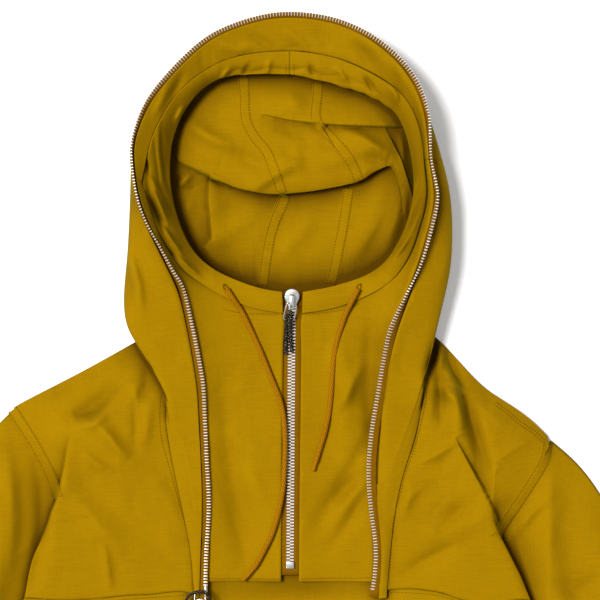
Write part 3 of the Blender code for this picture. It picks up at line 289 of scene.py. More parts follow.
# ---------------------------- the cloth
# One plain-woven cotton and nylon cloth, ochre yellow, with a fine rib across it and a low sheen.
# Every panel is cut from it; each is its frame solid, smoothed, then pressed into its soft folds.
def weave_group():
    """Threads of a plain weave: how light each place is, and how high it stands."""
    tree = bpy.data.node_groups.new("plain weave", "ShaderNodeTree")
    for label, way, kind in (("Place", "INPUT", "Vector"), ("Threads to the metre", "INPUT", "Float"),
                             ("Shade", "OUTPUT", "Float"), ("Height", "OUTPUT", "Float")):
        tree.interface.new_socket(label, in_out=way, socket_type="NodeSocket" + kind)
    given = tree.nodes.new("NodeGroupInput").outputs
    weft, warp = [add(tree, "ShaderNodeTexNoise", {
        "Vector": add(tree, "ShaderNodeVectorMath", {0: given["Place"], 1: stretch}, operation="MULTIPLY"),
        "Scale": given["Threads to the metre"], "Detail": detail, "Roughness": uneven})
        for stretch, detail, uneven in (((0.05, 1.0, 1.0), 3, 0.7), ((1.0, 0.06, 0.06), 2, 0.5))]
    both = add(tree, "ShaderNodeMath", {0: warp, 1: 0.35, 2: weft}, operation="MULTIPLY_ADD")
    level = add(tree, "ShaderNodeMath", {0: both, 1: 0.74}, operation="MULTIPLY")
    feed(tree.nodes.new("NodeGroupOutput"), {"Shade": level, "Height": both})
    return tree


WEAVE = weave_group()


def woven_finish(name, deep, middle, light, threads, roughness, sheen, bump_high):
    """Woven cloth: three tones of one colour, moved by the threads and by broad uneven dyeing.

    It reads from "open" how much sky each point sees, and darkens its colour with painted shade where that
    is little.
    """
    made, tree, shader = new_finish(name, {
        "Roughness": roughness, "Specular IOR Level": 0.03, "Sheen Weight": sheen,
        "Sheen Roughness": 0.4, "Sheen Tint": (0.50, 0.60, 0.0, 1)})
    place = add(tree, "ShaderNodeTexCoord", out="Object")
    shade = add(tree, "ShaderNodeGroup", {"Threads to the metre": threads, "Place": place}, "Shade",
                node_tree=WEAVE)
    fine = add(tree, "ShaderNodeMath", {0: shade, 1: 0.70}, operation="MULTIPLY")
    tone = add(tree, "ShaderNodeMath", {0: noise(tree, 22, 4), 1: 0.30, 2: fine}, operation="MULTIPLY_ADD")
    dye = tones(tree, tone, (0.25, deep), (0.5, middle), (0.75, light))
    # painted shade: the colour is multiplied towards a dark tint where the point sees little sky
    sky = add(tree, "ShaderNodeAttribute", out="Fac", attribute_name="open")
    seen = add(tree, "ShaderNodeMapRange", {"Value": sky, "From Min": 0.45, "From Max": 0.97}, "Result")
    painted_shade = mixed(tree, seen, (0.30, 0.26, 0.2, 1), (1, 1, 1, 1))
    dress(shader, mixed(tree, 1.0, dye, painted_shade, "MULTIPLY"), shade.node.outputs["Height"], 0.5, bump_high)
    return made


CLOTH = woven_finish("ochre_cloth", (0.270, 0.137, 0.0), (0.325, 0.172, 0.0), (0.375, 0.206, 0.0),
                     820, 0.85, 0.35, 0.00016)

RIDGES = [  # height, half width, then x, y of each point along a soft ridge (a valley if below 0)
    # under the bib's edge, and the hood's outside left
    (-3.4, 14, -84, 0, -30, -1, 30, -1, 86, 0), (1.0, 2.5, -73, 12, -73, 0, -74, -14),
    (1.6, 4, -161, 352, -151, 318, -147, 288),
    # the left of the chest
    (1.3, 6, -192, 176, -176, 158, -160, 140), (-1.8, 8, -219, 184, -204, 190, -190, 200, -170, 220),
    (-1.6, 7, -141, 238, -144, 214, -147, 194), (1.2, 6, -212, 178, -196, 176, -180, 190),
    (1.0, 5, -208, 148, -194, 136, -183, 129), (-1.2, 12, -214, 129, -180, 98, -145, 67, -112, 36),
    (1.2, 11, -224, 104, -190, 72, -160, 40), (0.9, 3, -186, 58, -182, 30, -179, 8),
    (-1.2, 6, -152, 205, -153, 180, -154, 150), (1.0, 6, -143, 205, -143, 178, -146, 152),
    (0.8, 7, -140, 128, -120, 100, -110, 70),
    # the right of the chest, gathered under the hood
    (-2.2, 5, 145, 260, 140, 238, 136, 222), (1.6, 4, 150, 262, 152, 244, 150, 226),
    (-2.2, 5, 158, 252, 166, 228, 176, 205), (2.0, 5, 150, 218, 160, 206, 172, 196),
    (-2.6, 6, 149, 217, 150, 196, 149, 172), (1.6, 6, 163, 212, 168, 190, 170, 160),
    (-2.9, 8, 168, 222, 177, 196, 185, 170, 191, 146, 201, 110), (-1.1, 20, 152, 168, 147, 132, 140, 98),
    (-1.6, 5, 146, 236, 152, 214, 150, 196), (1.3, 4, 156, 232, 168, 214, 182, 204),
    (1.0, 5, 133, 139, 148, 146, 163, 156), (-1.4, 11, 145, 66, 165, 84, 184, 101),
    (1.3, 9, 130, 58, 156, 72, 186, 84), (-1.1, 8, 116, 29, 150, 44, 194, 66),
    (1.2, 7, 108, 84, 124, 108, 150, 120),
    # the bib, drawn in beside the two zips
    (-2.4, 13, -68, 250, -64, 186, -60, 150, -55, 117, -46, 60, -38, 24),
    (1.3, 10, -82, 176, -50, 158, -20, 140), (1.1, 9, -62, 150, -40, 120, -20, 96),
    (-1.0, 9, -60, 110, -38, 80, -24, 50), (-1.6, 10, 80, 170, 62, 130, 40, 96, 22, 60),
    (1.3, 8, 84, 150, 68, 112, 50, 80, 36, 52), (-1.2, 9, 80, 118, 60, 84, 28, 44),
    (-2.4, 9, 82, 290, 80, 250, 80, 205, 83, 160, 86, 110), (1.5, 10, 50, 285, 50, 235, 54, 185, 60, 135),
    (-1.7, 6, 82, 134, 62, 115, 41, 96), (1.4, 5, 72, 236, 58, 208, 44, 186),
    (0.9, 6, 58, 240, 60, 215, 58, 190),
    # under the arms
    (-2.2, 8, -258, 150, -250, 116, -248, 80, -252, 40, -262, 0), (0.8, 6, -282, 140, -276, 80, -282, 20),
    (3.0, 15, -296, 190, -286, 120, -290, 50, -304, -20, -320, -90),
    (-2.0, 8, 221, 92, 227, 64, 236, 34, 246, -4), (1.4, 5, 262, 106, 242, 86, 222, 60),
    (2.6, 13, 262, 130, 262, 90, 260, 50, 268, 0, 290, -70), (-1.9, 10, 258, 16, 288, 8, 322, 22),
    # the lower body and the sleeves, past what hangs from the chest
    (1.6, 16, -160, -10, -150, -90, -170, -190), (-1.5, 18, -100, -20, -80, -140, -90, -260),
    (1.5, 18, 60, -30, 90, -150, 70, -300), (-1.4, 16, 150, -20, 170, -120, 160, -230),
    (1.2, 14, -30, -120, -10, -240, -20, -380), (1.6, 12, -330, 40, -360, -60, -400, -150),
    (-1.4, 12, -340, -10, -390, -140, -430, -230), (1.6, 12, 320, 30, 350, -60, 380, -160),
    (-1.4, 12, 330, -40, 380, -150, 410, -240),
]
HOOD_RIDGES = [
    # the crown: facets where the doubled cloth is pulled to its two sides
    (1.2, 6, -41, 411, -16, 424, 4, 436, 10, 456), (-1.6, 8, -62, 452, -40, 440, -22, 432),
    (2.0, 7, -104, 478, -80, 462, -52, 450), (-1.5, 7, -20, 478, 0, 470, 20, 462),
    (1.6, 7, 20, 500, 2, 497, -14, 488), (-1.4, 7, -12, 452, 6, 446, 30, 452),
    (2.2, 5, 54, 470, 74, 462, 96, 448), (-1.8, 6, 60, 452, 84, 442, 102, 436),
    (1.6, 8, 36, 440, 62, 446, 88, 450),
    # the floor of the hood, below the flap
    (1.6, 9, -84, 352, -56, 372, -28, 392), (1.3, 8, -14, 340, 10, 366, 26, 388),
    (1.5, 7, 48, 330, 66, 352, 80, 378), (1.8, 6, 96, 352, 106, 380, 110, 404),
    # the valley on the left, and its upright fold
    (1.2, 6, -100, 404, -104, 388, -98, 370), (1.8, 4, -116, 410, -106, 420, -98, 428),
    # the hood's two sides, sunk beside the band, and the upright fold on the right
    (-2.0, 7, -144, 452, -142, 430, -136, 400, -128, 374, -114, 348),
    (-3.3, 8, 140, 456, 140, 408, 132, 372, 117, 342, 99, 318),
    (1.6, 4, 112, 470, 114, 440, 122, 410, 130, 384),
    (-2.2, 12, -110, 500, -119, 460, -120, 430, -114, 395, -104, 365, -90, 342),
]
TUCKS = [  # rise, drop, reach, then x, y along an edge: the cloth on the right hand of the way is lower
    (2.6, 6.5, 15, -28, 487, -2, 481, 22, 478, 48, 476, 74, 475, 104, 474, 126, 475),
    (8.5, 0.3, 15, -78, 428, -81, 418, -82, 402, -80, 380, -79, 362, -88, 352),
    (1.5, 3.6, 12, 126, 384, 122, 408, 112, 440, 104, 456, 95, 474),
    (1.5, 5.0, 11, -113, 496, -117, 470, -118, 448, -113, 440, -98, 433, -83, 426, -74, 421, -62, 415),
]
BODY_TUCKS = [  # the front of the body folded back over each sleeve; the hood's edge on the shoulders
    (2.5, 4.0, 12, -219, 164, -223, 150, -226, 132, -231, 112, -235, 100),
    (2.8, 6.0, 13, 213, 68, 206, 84, 196, 105, 185, 125, 174, 145, 165, 162),
    (1.6, 2.4, 8, -154, 252, -140, 238, -128, 214, -123, 195, -120, 178),
    (1.8, 3.0, 9, 129, 190, 133, 212, 138, 234, 147, 264),
]
CREASES = [  # rise, half width, then x, y of each point along a crisp ridge
    (1.9, 9, -40, 406, -22, 420, -2, 434, 14, 441), (-1.3, 7, -30, 408, -8, 424, 8, 432),
    (1.5, 8, -100, 476, -80, 464, -58, 455, -46, 452), (1.8, 8, -30, 500, -16, 504, 0, 506, 8, 494, 4, 486),
    (1.8, 8, 44, 470, 66, 458, 84, 444, 98, 440), (-1.3, 6, 30, 458, 52, 450, 76, 430),
    (1.2, 8, 64, 510, 90, 496, 112, 482), (1.3, 9, -104, 460, -88, 446, -70, 438),
    (1.6, 6, -117, 430, -108, 424, -100, 412), (2.0, 8, 64, 338, 78, 360, 92, 384),
    (1.1, 10, -60, 352, -34, 366, -12, 388),
]
BODY_CREASES = [
    # the left of the chest
    (1.1, 4, -219, 172, -200, 173, -184, 184), (1.5, 4, -193, 178, -178, 160, -162, 140),
    (0.9, 5, -208, 148, -192, 138, -175, 129), (1.3, 4, -156, 218, -151, 186, -150, 155),
    (0.9, 8, -219, 111, -194, 80, -168, 44), (1.4, 3, -187, 56, -184, 34, -180, 12),
    (0.8, 6, -196, 122, -168, 92, -140, 60), (-0.7, 6, -212, 96, -184, 60, -166, 30),
    (-1.5, 4, -218, 184, -193, 190, -168, 219), (0.8, 6, -140, 118, -126, 84, -118, 50),
    # the right of the chest
    (1.4, 3, 149, 216, 159, 219, 174, 203), (1.2, 4, 149, 214, 148, 192, 147, 172),
    (1.6, 4, 163, 215, 169, 193, 174, 172), (-1.8, 6, 176, 196, 184, 172, 192, 150, 200, 128),
    (1.6, 4, 131, 137, 148, 147, 166, 156), (-1.8, 6, 145, 64, 160, 80, 175, 94),
    (-1.5, 5, 110, 24, 140, 42, 166, 56), (1.4, 4, 206, 140, 204, 112, 203, 88),
    (1.4, 4, 205, 138, 222, 149, 240, 158), (0.9, 4, 122, 122, 118, 100, 114, 78),
    (1.0, 5, 190, 196, 206, 180, 226, 170), (-0.8, 5, 120, 92, 134, 110, 150, 122),
    # the bib
    (0.9, 8, -62, 172, -44, 140, -28, 112), (-0.9, 8, -76, 130, -58, 84, -44, 44),
    (0.9, 8, 76, 176, 58, 140, 34, 108), (-0.9, 8, 78, 110, 58, 74, 30, 40),
    (0.8, 4, -34, 280, -31, 262, -30, 244), (0.7, 4, 28, 284, 31, 266, 30, 248),
    # the sleeves and the hood's outside left
    (1.4, 3, 262, 126, 260, 60, 258, -20), (0.9, 5, -284, 150, -279, 110, -280, 60),
    (0.9, 3, -160, 350, -150, 315, -147, 290),
]
BAND_CREASES = [
    (-1.5, 2.0, -96, 502, -72, 520, -52, 531, -40, 528, -22, 532, 0, 530, 14, 532, 34, 524, 52, 525, 80,
     512, 108, 492), (0.9, 2.0, -52, 524, -30, 526, -8, 525, 14, 526),
    (0.9, 2.0, 34, 519, 60, 513, 84, 504), (-1.2, 2.4, -150, 452, -146, 420, -132, 386, -112, 356),
    (-1.7, 2.2, -136, 470, -133, 440, -130, 415, -116, 384),
    (-1.5, 2.0, -127, 488, -128, 450, -124, 420, -113, 392), (1.3, 2.2, -131, 478, -131, 446, -127, 416),
    (-1.2, 2.4, 136, 440, 137, 404, 126, 370, 108, 344),
]
MOVED = [  # x, y, then how far the cloth lies aside from its plain pattern there, and the reach
    (-236, 78, -5, 0, 30), (-246, 45, -9, 0, 30), (-254, 15, -10, 0, 30), (-262, -20, -9, 0, 32),
    (216, 95, -5.5, -20, 26), (226, 66, -9, -14, 26), (238, 36, -13, -6, 28), (248, 8, -14, -3, 30),
    (256, -25, -12, 0, 34), (-112, 3, 0, 5, 20), (-150, 3, 0, 1.5, 24), (-200, 3, 0, -2.5, 22),
    (-232, 3, 0, -6, 22), (96, 3, 0, 6, 16), (120, 3, 0, 8, 20), (148, 3, 0, 5, 18), (174, 3, 0, -4, 18),
    (205, 3, 0, -13, 20),
]
MOVED_FLOOR = [  # the same on the floor of the hood
    (-23, 405, 17, 0, 26), (-24, 383, 10, 0, 26), (-25, 354, 3, 0, 26), (-27, 322, 0, 0, 26),
    (37, 405, 20, 0, 26), (36, 383, 18, 0, 26), (35, 354, 14, 0, 26), (33, 322, 10, 0, 26),
    (-80, 380, 0, 0, 26), (96, 380, 0, 0, 26),
]
MOVED_CROWN = [  # and on the doubled cloth over it
    (48, 462, 7, 0, 18), (58, 438, 11, 0, 16), (66, 422, 2, 0, 10), (0, 415, -5, 0, 14),
]
MOVED_BAND = [  # and along the tunnel's inner edge at the top, which hangs down a little
    (-58, 522, 0, -2, 9), (-44, 528, 0, -4, 9), (-30, 531, 0, -5, 9), (-16, 532, 0, -6, 9),
    (-2, 533, 0, -7, 9), (12, 532, 0, -7, 9), (26, 530, 0, -8, 9), (40, 527, 0, -7, 9), (54, 523, 0, -8, 9),
    (68, 517, 0, -6, 9), (82, 509, 0, -5, 9), (96, 500, 0, -3, 9),
]
FACING_FOLDS = [
    (1.0, 5, -72, 556, -52, 549, -36, 553), (-0.9, 5, -42, 566, -24, 556, -12, 548),
    (0.9, 5, -8, 572, 8, 560, 20, 550), (-1.0, 5, 60, 562, 74, 545, 84, 530),
    (1.0, 5, 74, 562, 88, 548, 98, 530), (0.9, 5, 104, 540, 112, 524, 116, 508),
    (-0.9, 4, -106, 528, -112, 514, -120, 500), (0.9, 4, -120, 516, -127, 500, -134, 484),
    (-0.8, 6, 24, 574, 34, 560, 40, 546),
]
BAND_PUCKERS = [HOOD_RIDGES[k] for k in (-1, -4, -3)] + [  # and gathers where the cord draws it in
    (2.2, 2.6, -138, 414, -130, 396, -122, 376), (-2.0, 2.6, -143, 406, -134, 388, -125, 368),
    (2.0, 2.4, -128, 376, -118, 360, -108, 346), (-2.0, 2.4, -134, 368, -124, 352, -112, 340),
    (1.7, 2.2, -112, 344, -100, 332, -90, 324), (1.9, 2.4, -142, 432, -138, 420, -131, 408),
    (-1.9, 2.2, -146, 446, -142, 430, -137, 418), (1.5, 2.4, -60, 532, -66, 524, -70, 518),
    (-1.5, 2.4, -40, 536, -44, 530, -47, 524), (1.5, 2.6, -20, 540, -22, 532, -24, 525),
    (-1.5, 2.4, 20, 536, 22, 530, 24, 524), (1.7, 2.6, 48, 531, 53, 524, 57, 518),
    (-1.7, 2.4, 74, 524, 80, 516, 84, 508), (1.7, 2.4, 100, 512, 106, 504, 108, 496),
    (1.7, 2.6, 126, 420, 119, 402, 114, 384), (-1.7, 2.4, 131, 404, 124, 386, 116, 368),
    (1.5, 2.4, 122, 366, 112, 352, 104, 342), (-1.5, 2.4, -84, 512, -90, 504, -94, 498),
    (1.5, 2.6, -106, 494, -110, 486, -114, 478),
]


WRINKLE_COUNT = 300
random = np.random.default_rng(23)
WRINKLES = []   # many slight creases that the crisp cloth keeps from being folded and handled
for _ in range(WRINKLE_COUNT):
    middle = random.uniform((-300, -420), (300, 590))
    way = random.normal(0, 0.5) + random.choice((0.9, 2.2))
    long = random.uniform(9, 26)
    end = long * np.array((math.cos(way), math.sin(way)))
    bend = random.normal(0, 2.5, 2)
    WRINKLES.append((random.choice((-1, 1)) * random.uniform(0.30, 0.62), random.uniform(2.2, 5.0),
                     middle - end, middle + bend, middle + end))
WRINKLE_REACH = 20  # a panel takes the wrinkles up to this far outside it
SOFT = 3.2          # what a ridge's height in the tables is multiplied by
CRISP = 2.2         # the same for a crease
TUCK_EDGE = 1.2     # width of the step at a tuck
SINKS = 0.6         # the share of its height that a point may sink
FLOOR_TOP = 8 * MM  # where the hood's floor ends and its doubled crown begins
FLOOR_BLEND = 3 * MM
STEEP = (0.2, 0.5)  # folds fade in between these values of a normal's Z
CUT = 0.0015        # the cloth's thickness at its cut edges
THIN = 0.12         # how far an edge's length may be from CUT, as a share of it


def reach_of(points, line):
    """Distance of each point in plan from a line, where along it that is, and which side it is on."""
    line = np.reshape(line, (-1, 2)).astype(float)
    near = np.full(len(points), 1e9)
    where = np.zeros(len(points))
    side = np.ones(len(points))
    for k, (a, b) in enumerate(zip(line[:-1], line[1:])):
        way = b - a
        off = points - a
        t = np.clip(off @ way / way.dot(way), 0, 1)
        gap = off - t[:, None] * way
        far = np.hypot(gap[:, 0], gap[:, 1])
        closer = far < near
        near = np.where(closer, far, near)
        where = np.where(closer, (k + t) / (len(line) - 1), where)
        side = np.where(closer, np.sign(way[0] * off[:, 1] - way[1] * off[:, 0]), side)
    return near, where, side


def soft_folds(plan, ridges, tucks=(), creases=()):
    """Height that the folds add at each x, y, all in millimetres."""
    high = np.zeros(len(plan))
    for rise, wide, *line in ridges:
        near, where, side = reach_of(plan, line)
        fade = np.sin(math.pi * np.clip(where, 0.04, 0.96)) ** 0.7
        high += SOFT * rise * np.exp(-(near / wide) ** 2) * fade
    for rise, wide, *line in creases:
        near, where, side = reach_of(plan, line)
        high += CRISP * rise * np.exp(-np.hypot(near, 0.6) / wide) * np.sin(math.pi * where) ** 0.5
    for rise, drop, far, *line in tucks:
        near, where, side = reach_of(plan, line)
        step = np.clip(near / TUCK_EDGE, 0, 1)
        lower = np.where(side < 0, step * np.exp(-(near / far) ** 1.5), 0)
        upper = np.where(side >= 0, np.exp(-(near / far) ** 2), np.clip(1 - near / TUCK_EDGE, 0, 1))
        high += np.sin(math.pi * where) ** 0.5 * (rise * upper - drop * lower)
    return high


def baked(holder):
    """The mesh that an object's modifiers make of it; the object itself goes."""
    bpy.context.view_layer.update()
    mesh = bpy.data.meshes.new_from_object(holder.evaluated_get(bpy.context.evaluated_depsgraph_get()))
    bpy.data.objects.remove(holder)
    return mesh


def smoothed(node, levels, cut=CUT, close=0.00022, sharp=math.radians(70)):
    """A mesh of the node's solid: merged, four-sided and smoothed, its cut and folded edges kept firm.

    cut is the wall's thickness at its cut edges, which are moved out by close to shut the seams.
    """
    shape = bmesh.new()
    shape.from_mesh(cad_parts[node].data)
    bmesh.ops.remove_doubles(shape, verts=shape.verts, dist=1e-6)
    bmesh.ops.join_triangles(shape, faces=shape.faces, angle_face_threshold=3.0,
                             angle_shape_threshold=3.0)
    firm = shape.edges.layers.float.new("crease_edge")
    held = shape.verts.layers.float.new("crease_vert")
    out = {}
    for face in shape.faces:
        thin = [e for e in face.edges if abs(e.calc_length() - cut) < cut * THIN]
        if len(thin) >= 2 or (len(thin) == 1 and len(face.edges) == 3):
            for edge in face.edges:
                if edge not in thin:
                    edge[firm] = 1.0
            for corner in face.verts:
                out.setdefault(corner, Vector())
                out[corner] += face.normal
    for edge in shape.edges:
        if len(edge.link_faces) == 2 and edge.calc_face_angle(0.0) > sharp:
            edge[firm] = 1.0
    for corner in shape.verts:
        ways = [(e.other_vert(corner).co - corner.co).normalized() for e in corner.link_edges
                if e[firm] > 0 and abs(e.calc_length() - cut) > cut * THIN]
        if any(a.angle(b, 0) < math.radians(130) for k, a in enumerate(ways) for b in ways[k + 1:]):
            corner[held] = 1.0
    for corner, way in out.items():
        if way.length > 0.5:
            corner.co += way.normalized() * close
    rough = bpy.data.meshes.new(node + "_rough")
    shape.to_mesh(rough)
    shape.free()
    holder = set_out(node + "_rough", rough)
    smoother = holder.modifiers.new("smooth", "SUBSURF")
    smoother.levels = smoother.render_levels = levels
    mesh = baked(holder)
    bpy.data.meshes.remove(rough)
    return mesh


def finer_near(mesh, lines, within=5.0):
    """Cuts the mesh smaller along lines in plan, so that a crisp fold can be pressed into it."""
    shape = bmesh.new()
    shape.from_mesh(mesh)
    for _ in range(3):
        ends = np.array([[tuple(e.verts[0].co), tuple(e.verts[1].co)] for e in shape.edges]) / MM
        middle = ends.mean(axis=1)[:, :2]
        long = np.linalg.norm(ends[:, 1] - ends[:, 0], axis=1)
        near = np.min([reach_of(middle, line)[0] for line in lines], axis=0)
        cut = (near < within) & (long > 0.9 + 0.25 * near)
        if not cut.any():
            break
        bmesh.ops.subdivide_edges(shape, edges=[e for e, c in zip(shape.edges, cut) if c], cuts=1,
                                  use_grid_fill=True)
    shape.to_mesh(mesh)
    shape.free()


def laid_aside(plan, moves):
    """How far each x, y is moved in plan, blended from the moves near it."""
    total = np.zeros_like(plan)
    weight = np.zeros(len(plan))
    for x, y, along, up, reach in moves:
        near = np.exp(-((plan[:, 0] - x) ** 2 + (plan[:, 1] - y) ** 2) / reach ** 2)
        total += near[:, None] * (along, up)
        weight += near
    return total / np.maximum(weight, 1)[:, None]


def read(items, label, wide=3, kind=float):
    """One value of each of a mesh's items, in rows."""
    values = np.zeros(len(items) * wide, kind)
    items.foreach_get(label, values)
    return values.reshape(-1, wide)


def from_neighbours(mesh, values):
    """The sum of the values at each point's neighbours along the edges, and their number."""
    ends = read(mesh.edges, "vertices", 2, int)
    total = np.bincount(ends[:, 0], values[ends[:, 1]], len(values)) \
        + np.bincount(ends[:, 1], values[ends[:, 0]], len(values))
    return total, np.bincount(ends.ravel(), minlength=len(values))


def tree_of(mesh):
    """What rays are cast at to find the mesh's surface."""
    return BVHTree.FromPolygons([v.co for v in mesh.vertices], [tuple(f.vertices) for f in mesh.polygons])


def open_above(mesh, space=2.4):
    """1 where nothing of the mesh lies over a point, 0 where another layer does, softened."""
    tree = tree_of(mesh)
    up = Vector((0, 0, 1))
    clear = np.array([float(tree.ray_cast(v.co + up * (space * MM), up)[0] is None) for v in mesh.vertices])
    for _ in range(5):
        total, count = from_neighbours(mesh, clear)
        clear = np.minimum(clear, total / np.maximum(count, 1))
    return clear


LAID = {}       # each finished cloth piece by the node it stands for


def lay_panel(node, flat, area, levels=3, ridges=RIDGES, tucks=(), rests_on=("back",), layered=False,
              creases=()):
    """A finished cloth panel for a node: smoothed, pressed into its folds, and attached to the garment."""
    mesh = smoothed(node, levels)
    if tucks:
        finer_near(mesh, [line for rise, drop, far, *line in tucks])
    points, normal = read(mesh.vertices, "co"), read(mesh.vertices, "normal")
    plan = points[:, :2] / MM
    moved = 0
    if layered:
        low = np.clip((FLOOR_TOP - points[:, 2]) / FLOOR_BLEND, 0, 1)[:, None]
        moved = low * laid_aside(plan, MOVED_FLOOR) + (1 - low) * laid_aside(plan, MOVED_CROWN)
    elif node.startswith("band"):
        moved = laid_aside(plan, MOVED_BAND)
    elif node.startswith(("back", "front", "chest", "sleeve")):
        moved = laid_aside(plan, MOVED)
    points[:, :2] += moved * MM
    plan = points[:, :2] / MM
    mesh.vertices.foreach_set("co", points.ravel())
    first, last = plan.min(axis=0) - WRINKLE_REACH, plan.max(axis=0) + WRINKLE_REACH
    slight = [w for w in WRINKLES if np.all(w[3] > first) and np.all(w[3] < last)]
    high = soft_folds(plan, ridges, tucks, list(creases) + slight)
    high = np.maximum(high, -SINKS * points[:, 2] / MM)
    if layered:
        high *= open_above(mesh)
        high *= np.clip((np.abs(normal[:, 2]) - STEEP[0]) / (STEEP[1] - STEEP[0]), 0, 1)
    points[:, 2] += high * MM
    mesh.vertices.foreach_set("co", points.ravel())
    mesh.update()
    piece = finished(node + "_cloth", mesh, CLOTH)
    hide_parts(node)
    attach(piece, "garment")
    LAID[node] = piece


FRONT = {"tucks": BODY_TUCKS, "creases": BODY_CREASES}
lay_panel("back", (0.565, 0.717), 0.3565, rests_on=())
lay_panel("front_lower", (0.600, 0.462), 0.2472, levels=2, **FRONT)
lay_panel("chest_left", (0.190, 0.300), 0.0369, **FRONT)
lay_panel("chest_right", (0.172, 0.300), 0.0324, **FRONT)
lay_panel("sleeve_left", (0.400, 0.600), 0.1373, rests_on=(), **FRONT)
lay_panel("sleeve_right", (0.380, 0.590), 0.1188, rests_on=(), **FRONT)
for side in ("left", "right"):
    lay_panel("bib_" + side, (0.150, 0.425), 0.0252, creases=BODY_CREASES)
    lay_panel("hood_" + side, (0.300, 0.720), 0.0648, ridges=RIDGES + HOOD_RIDGES,
              tucks=TUCKS + BODY_TUCKS[2:], layered=True, creases=CREASES + BODY_CREASES)
    lay_panel("band_" + side, (0.034, 0.380), 0.0095, ridges=BAND_PUCKERS, creases=BAND_CREASES,
              rests_on=("hood_" + side,))
lay_panel("hood_centre", (0.125, 0.420), 0.0292, ridges=HOOD_RIDGES, tucks=TUCKS, rests_on=(),
          layered=True, creases=CREASES)
lay_panel("hood_facing", (0.060, 0.420), 0.0105, ridges=FACING_FOLDS, rests_on=("hood_centre",))


# ---------------------------- the double-stitched seams
# Each seam of the hood and each armhole is a flat-felled seam: the cloth's two edges folded into
# each other and sewn down flat, which leaves a raised strip, a little puckered, lying on the panels.
HOOD_CLOTH = ("hood_left", "hood_right", "hood_centre")
LEFT_CLOTH = ("chest_left", "sleeve_left", "front_lower", "back")
RIGHT_CLOTH = ("chest_right", "sleeve_right", "front_lower", "back")
FELLED = {  # nodes it lies on, width, then x, y along its middle
    "seam_crown_left": (HOOD_CLOTH, 11, (
        (-47, 529), (-46, 505), (-44.5, 482), (-37, 465), (-24, 449), (-16, 430), (-8, 407))),
    "seam_crown_right": (HOOD_CLOTH, 11, (
        (28.5, 529), (27, 505), (25.5, 484), (32, 472), (42, 462), (56, 446), (64, 432), (69, 420))),
    "seam_floor_left": (HOOD_CLOTH, 11, (
        (-5, 406), (-8, 396), (-14, 383), (-19, 368), (-22, 354), (-25, 336), (-28, 314))),
    "seam_floor_right": (HOOD_CLOTH, 11, (
        (59, 412), (57, 400), (54.5, 383), (52, 368), (49, 354), (46, 338), (41, 316))),
    "seam_armhole_left": (LEFT_CLOTH, 11.5, (
        (-279, 189.5), (-269.5, 175.5), (-259, 159.5), (-250, 143.5), (-241.5, 126.5), (-232, 102))),
    "seam_armhole_right": (RIGHT_CLOTH, 11, (
        (259, 155.5), (255, 139), (243.5, 119), (229, 97), (206.5, 62.5))),
}
TREES = {}
OVER = 0.2          # rays start down from this height
PLAIN_HIGH = 20 * MM    # where a whole line misses the cloth


def dropped(plan, nodes):
    """Points on top of the named cloth pieces at each x, y in millimetres."""
    for node in nodes:
        if node not in TREES:
            TREES[node] = tree_of(LAID[node].data)
    found = []
    for x, y in plan:
        start = Vector((x * MM, y * MM, OVER))
        hits = [TREES[node].ray_cast(start, Vector((0, 0, -1)))[0] for node in nodes]
        heights = [hit.z for hit in hits if hit is not None]
        found.append((x * MM, y * MM, max(heights) if heights else math.nan))
    found = np.array(found)
    hit = np.flatnonzero(~np.isnan(found[:, 2]))
    found[:, 2] = np.interp(np.arange(len(found)), hit, found[hit, 2]) if len(hit) else PLAIN_HIGH
    return found


def aside(line, far):
    """The line moved far to its left in plan."""
    ahead = np.gradient(line[:, :2], axis=0)
    ahead /= np.linalg.norm(ahead, axis=1, keepdims=True)
    return line[:, :2] + far * np.stack([-ahead[:, 1], ahead[:, 0]], axis=1)


STRIP = (  # its section: how far across, as a share of half its width, and how high
    (-1.0, -0.35), (-0.95, 0.50), (-0.80, 0.62), (-0.66, 0.44), (-0.3, 0.66), (0.3, 0.66),
    (0.66, 0.44), (0.80, 0.62), (0.95, 0.50), (1.0, -0.35), (0.5, -0.6), (-0.5, -0.6),
)
ROW_AT = 0.8        # where across it the two rows are sewn
PUCKER = 4.6        # from pucker to pucker along a row
PUCKER_HIGH = 0.16
RIM = 0.8           # how far outside the strip the cloth's height is read, for it to stay above
for name, (nodes, wide, route) in FELLED.items():
    line, run = smooth_line(route, 1.1)
    beat = np.random.default_rng(len(name)).uniform(0, 6.28, 2)
    fade = np.clip(np.minimum(run, run[-1] - run) / 2, 0.25, 1)
    rims = [dropped(aside(line, edge * (wide / 2 + RIM)), nodes)[:, 2] for edge in (-1, 1)]
    rings = []
    for across, high in STRIP:
        points = dropped(aside(line, across * wide / 2), nodes)
        points[:, 2] = np.maximum(points[:, 2], rims[0] + (rims[1] - rims[0]) * (across + 1) / 2)
        points[2:-2, 2] = np.convolve(points[:, 2], np.ones(5) / 5, "valid")
        sewn = PUCKER_HIGH * np.exp(-((abs(across) - ROW_AT) / 0.25) ** 2)
        pucker = sewn * np.sin(run * 2 * math.pi / PUCKER + beat[int(across > 0)] + np.sin(run / 7))
        points[:, 2] += (high + pucker) * fade * MM
        rings.append(points)
    strip = tube_mesh(name, np.stack(rings, axis=1), CLOTH)
    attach(strip, "garment")
    LAID[name] = strip


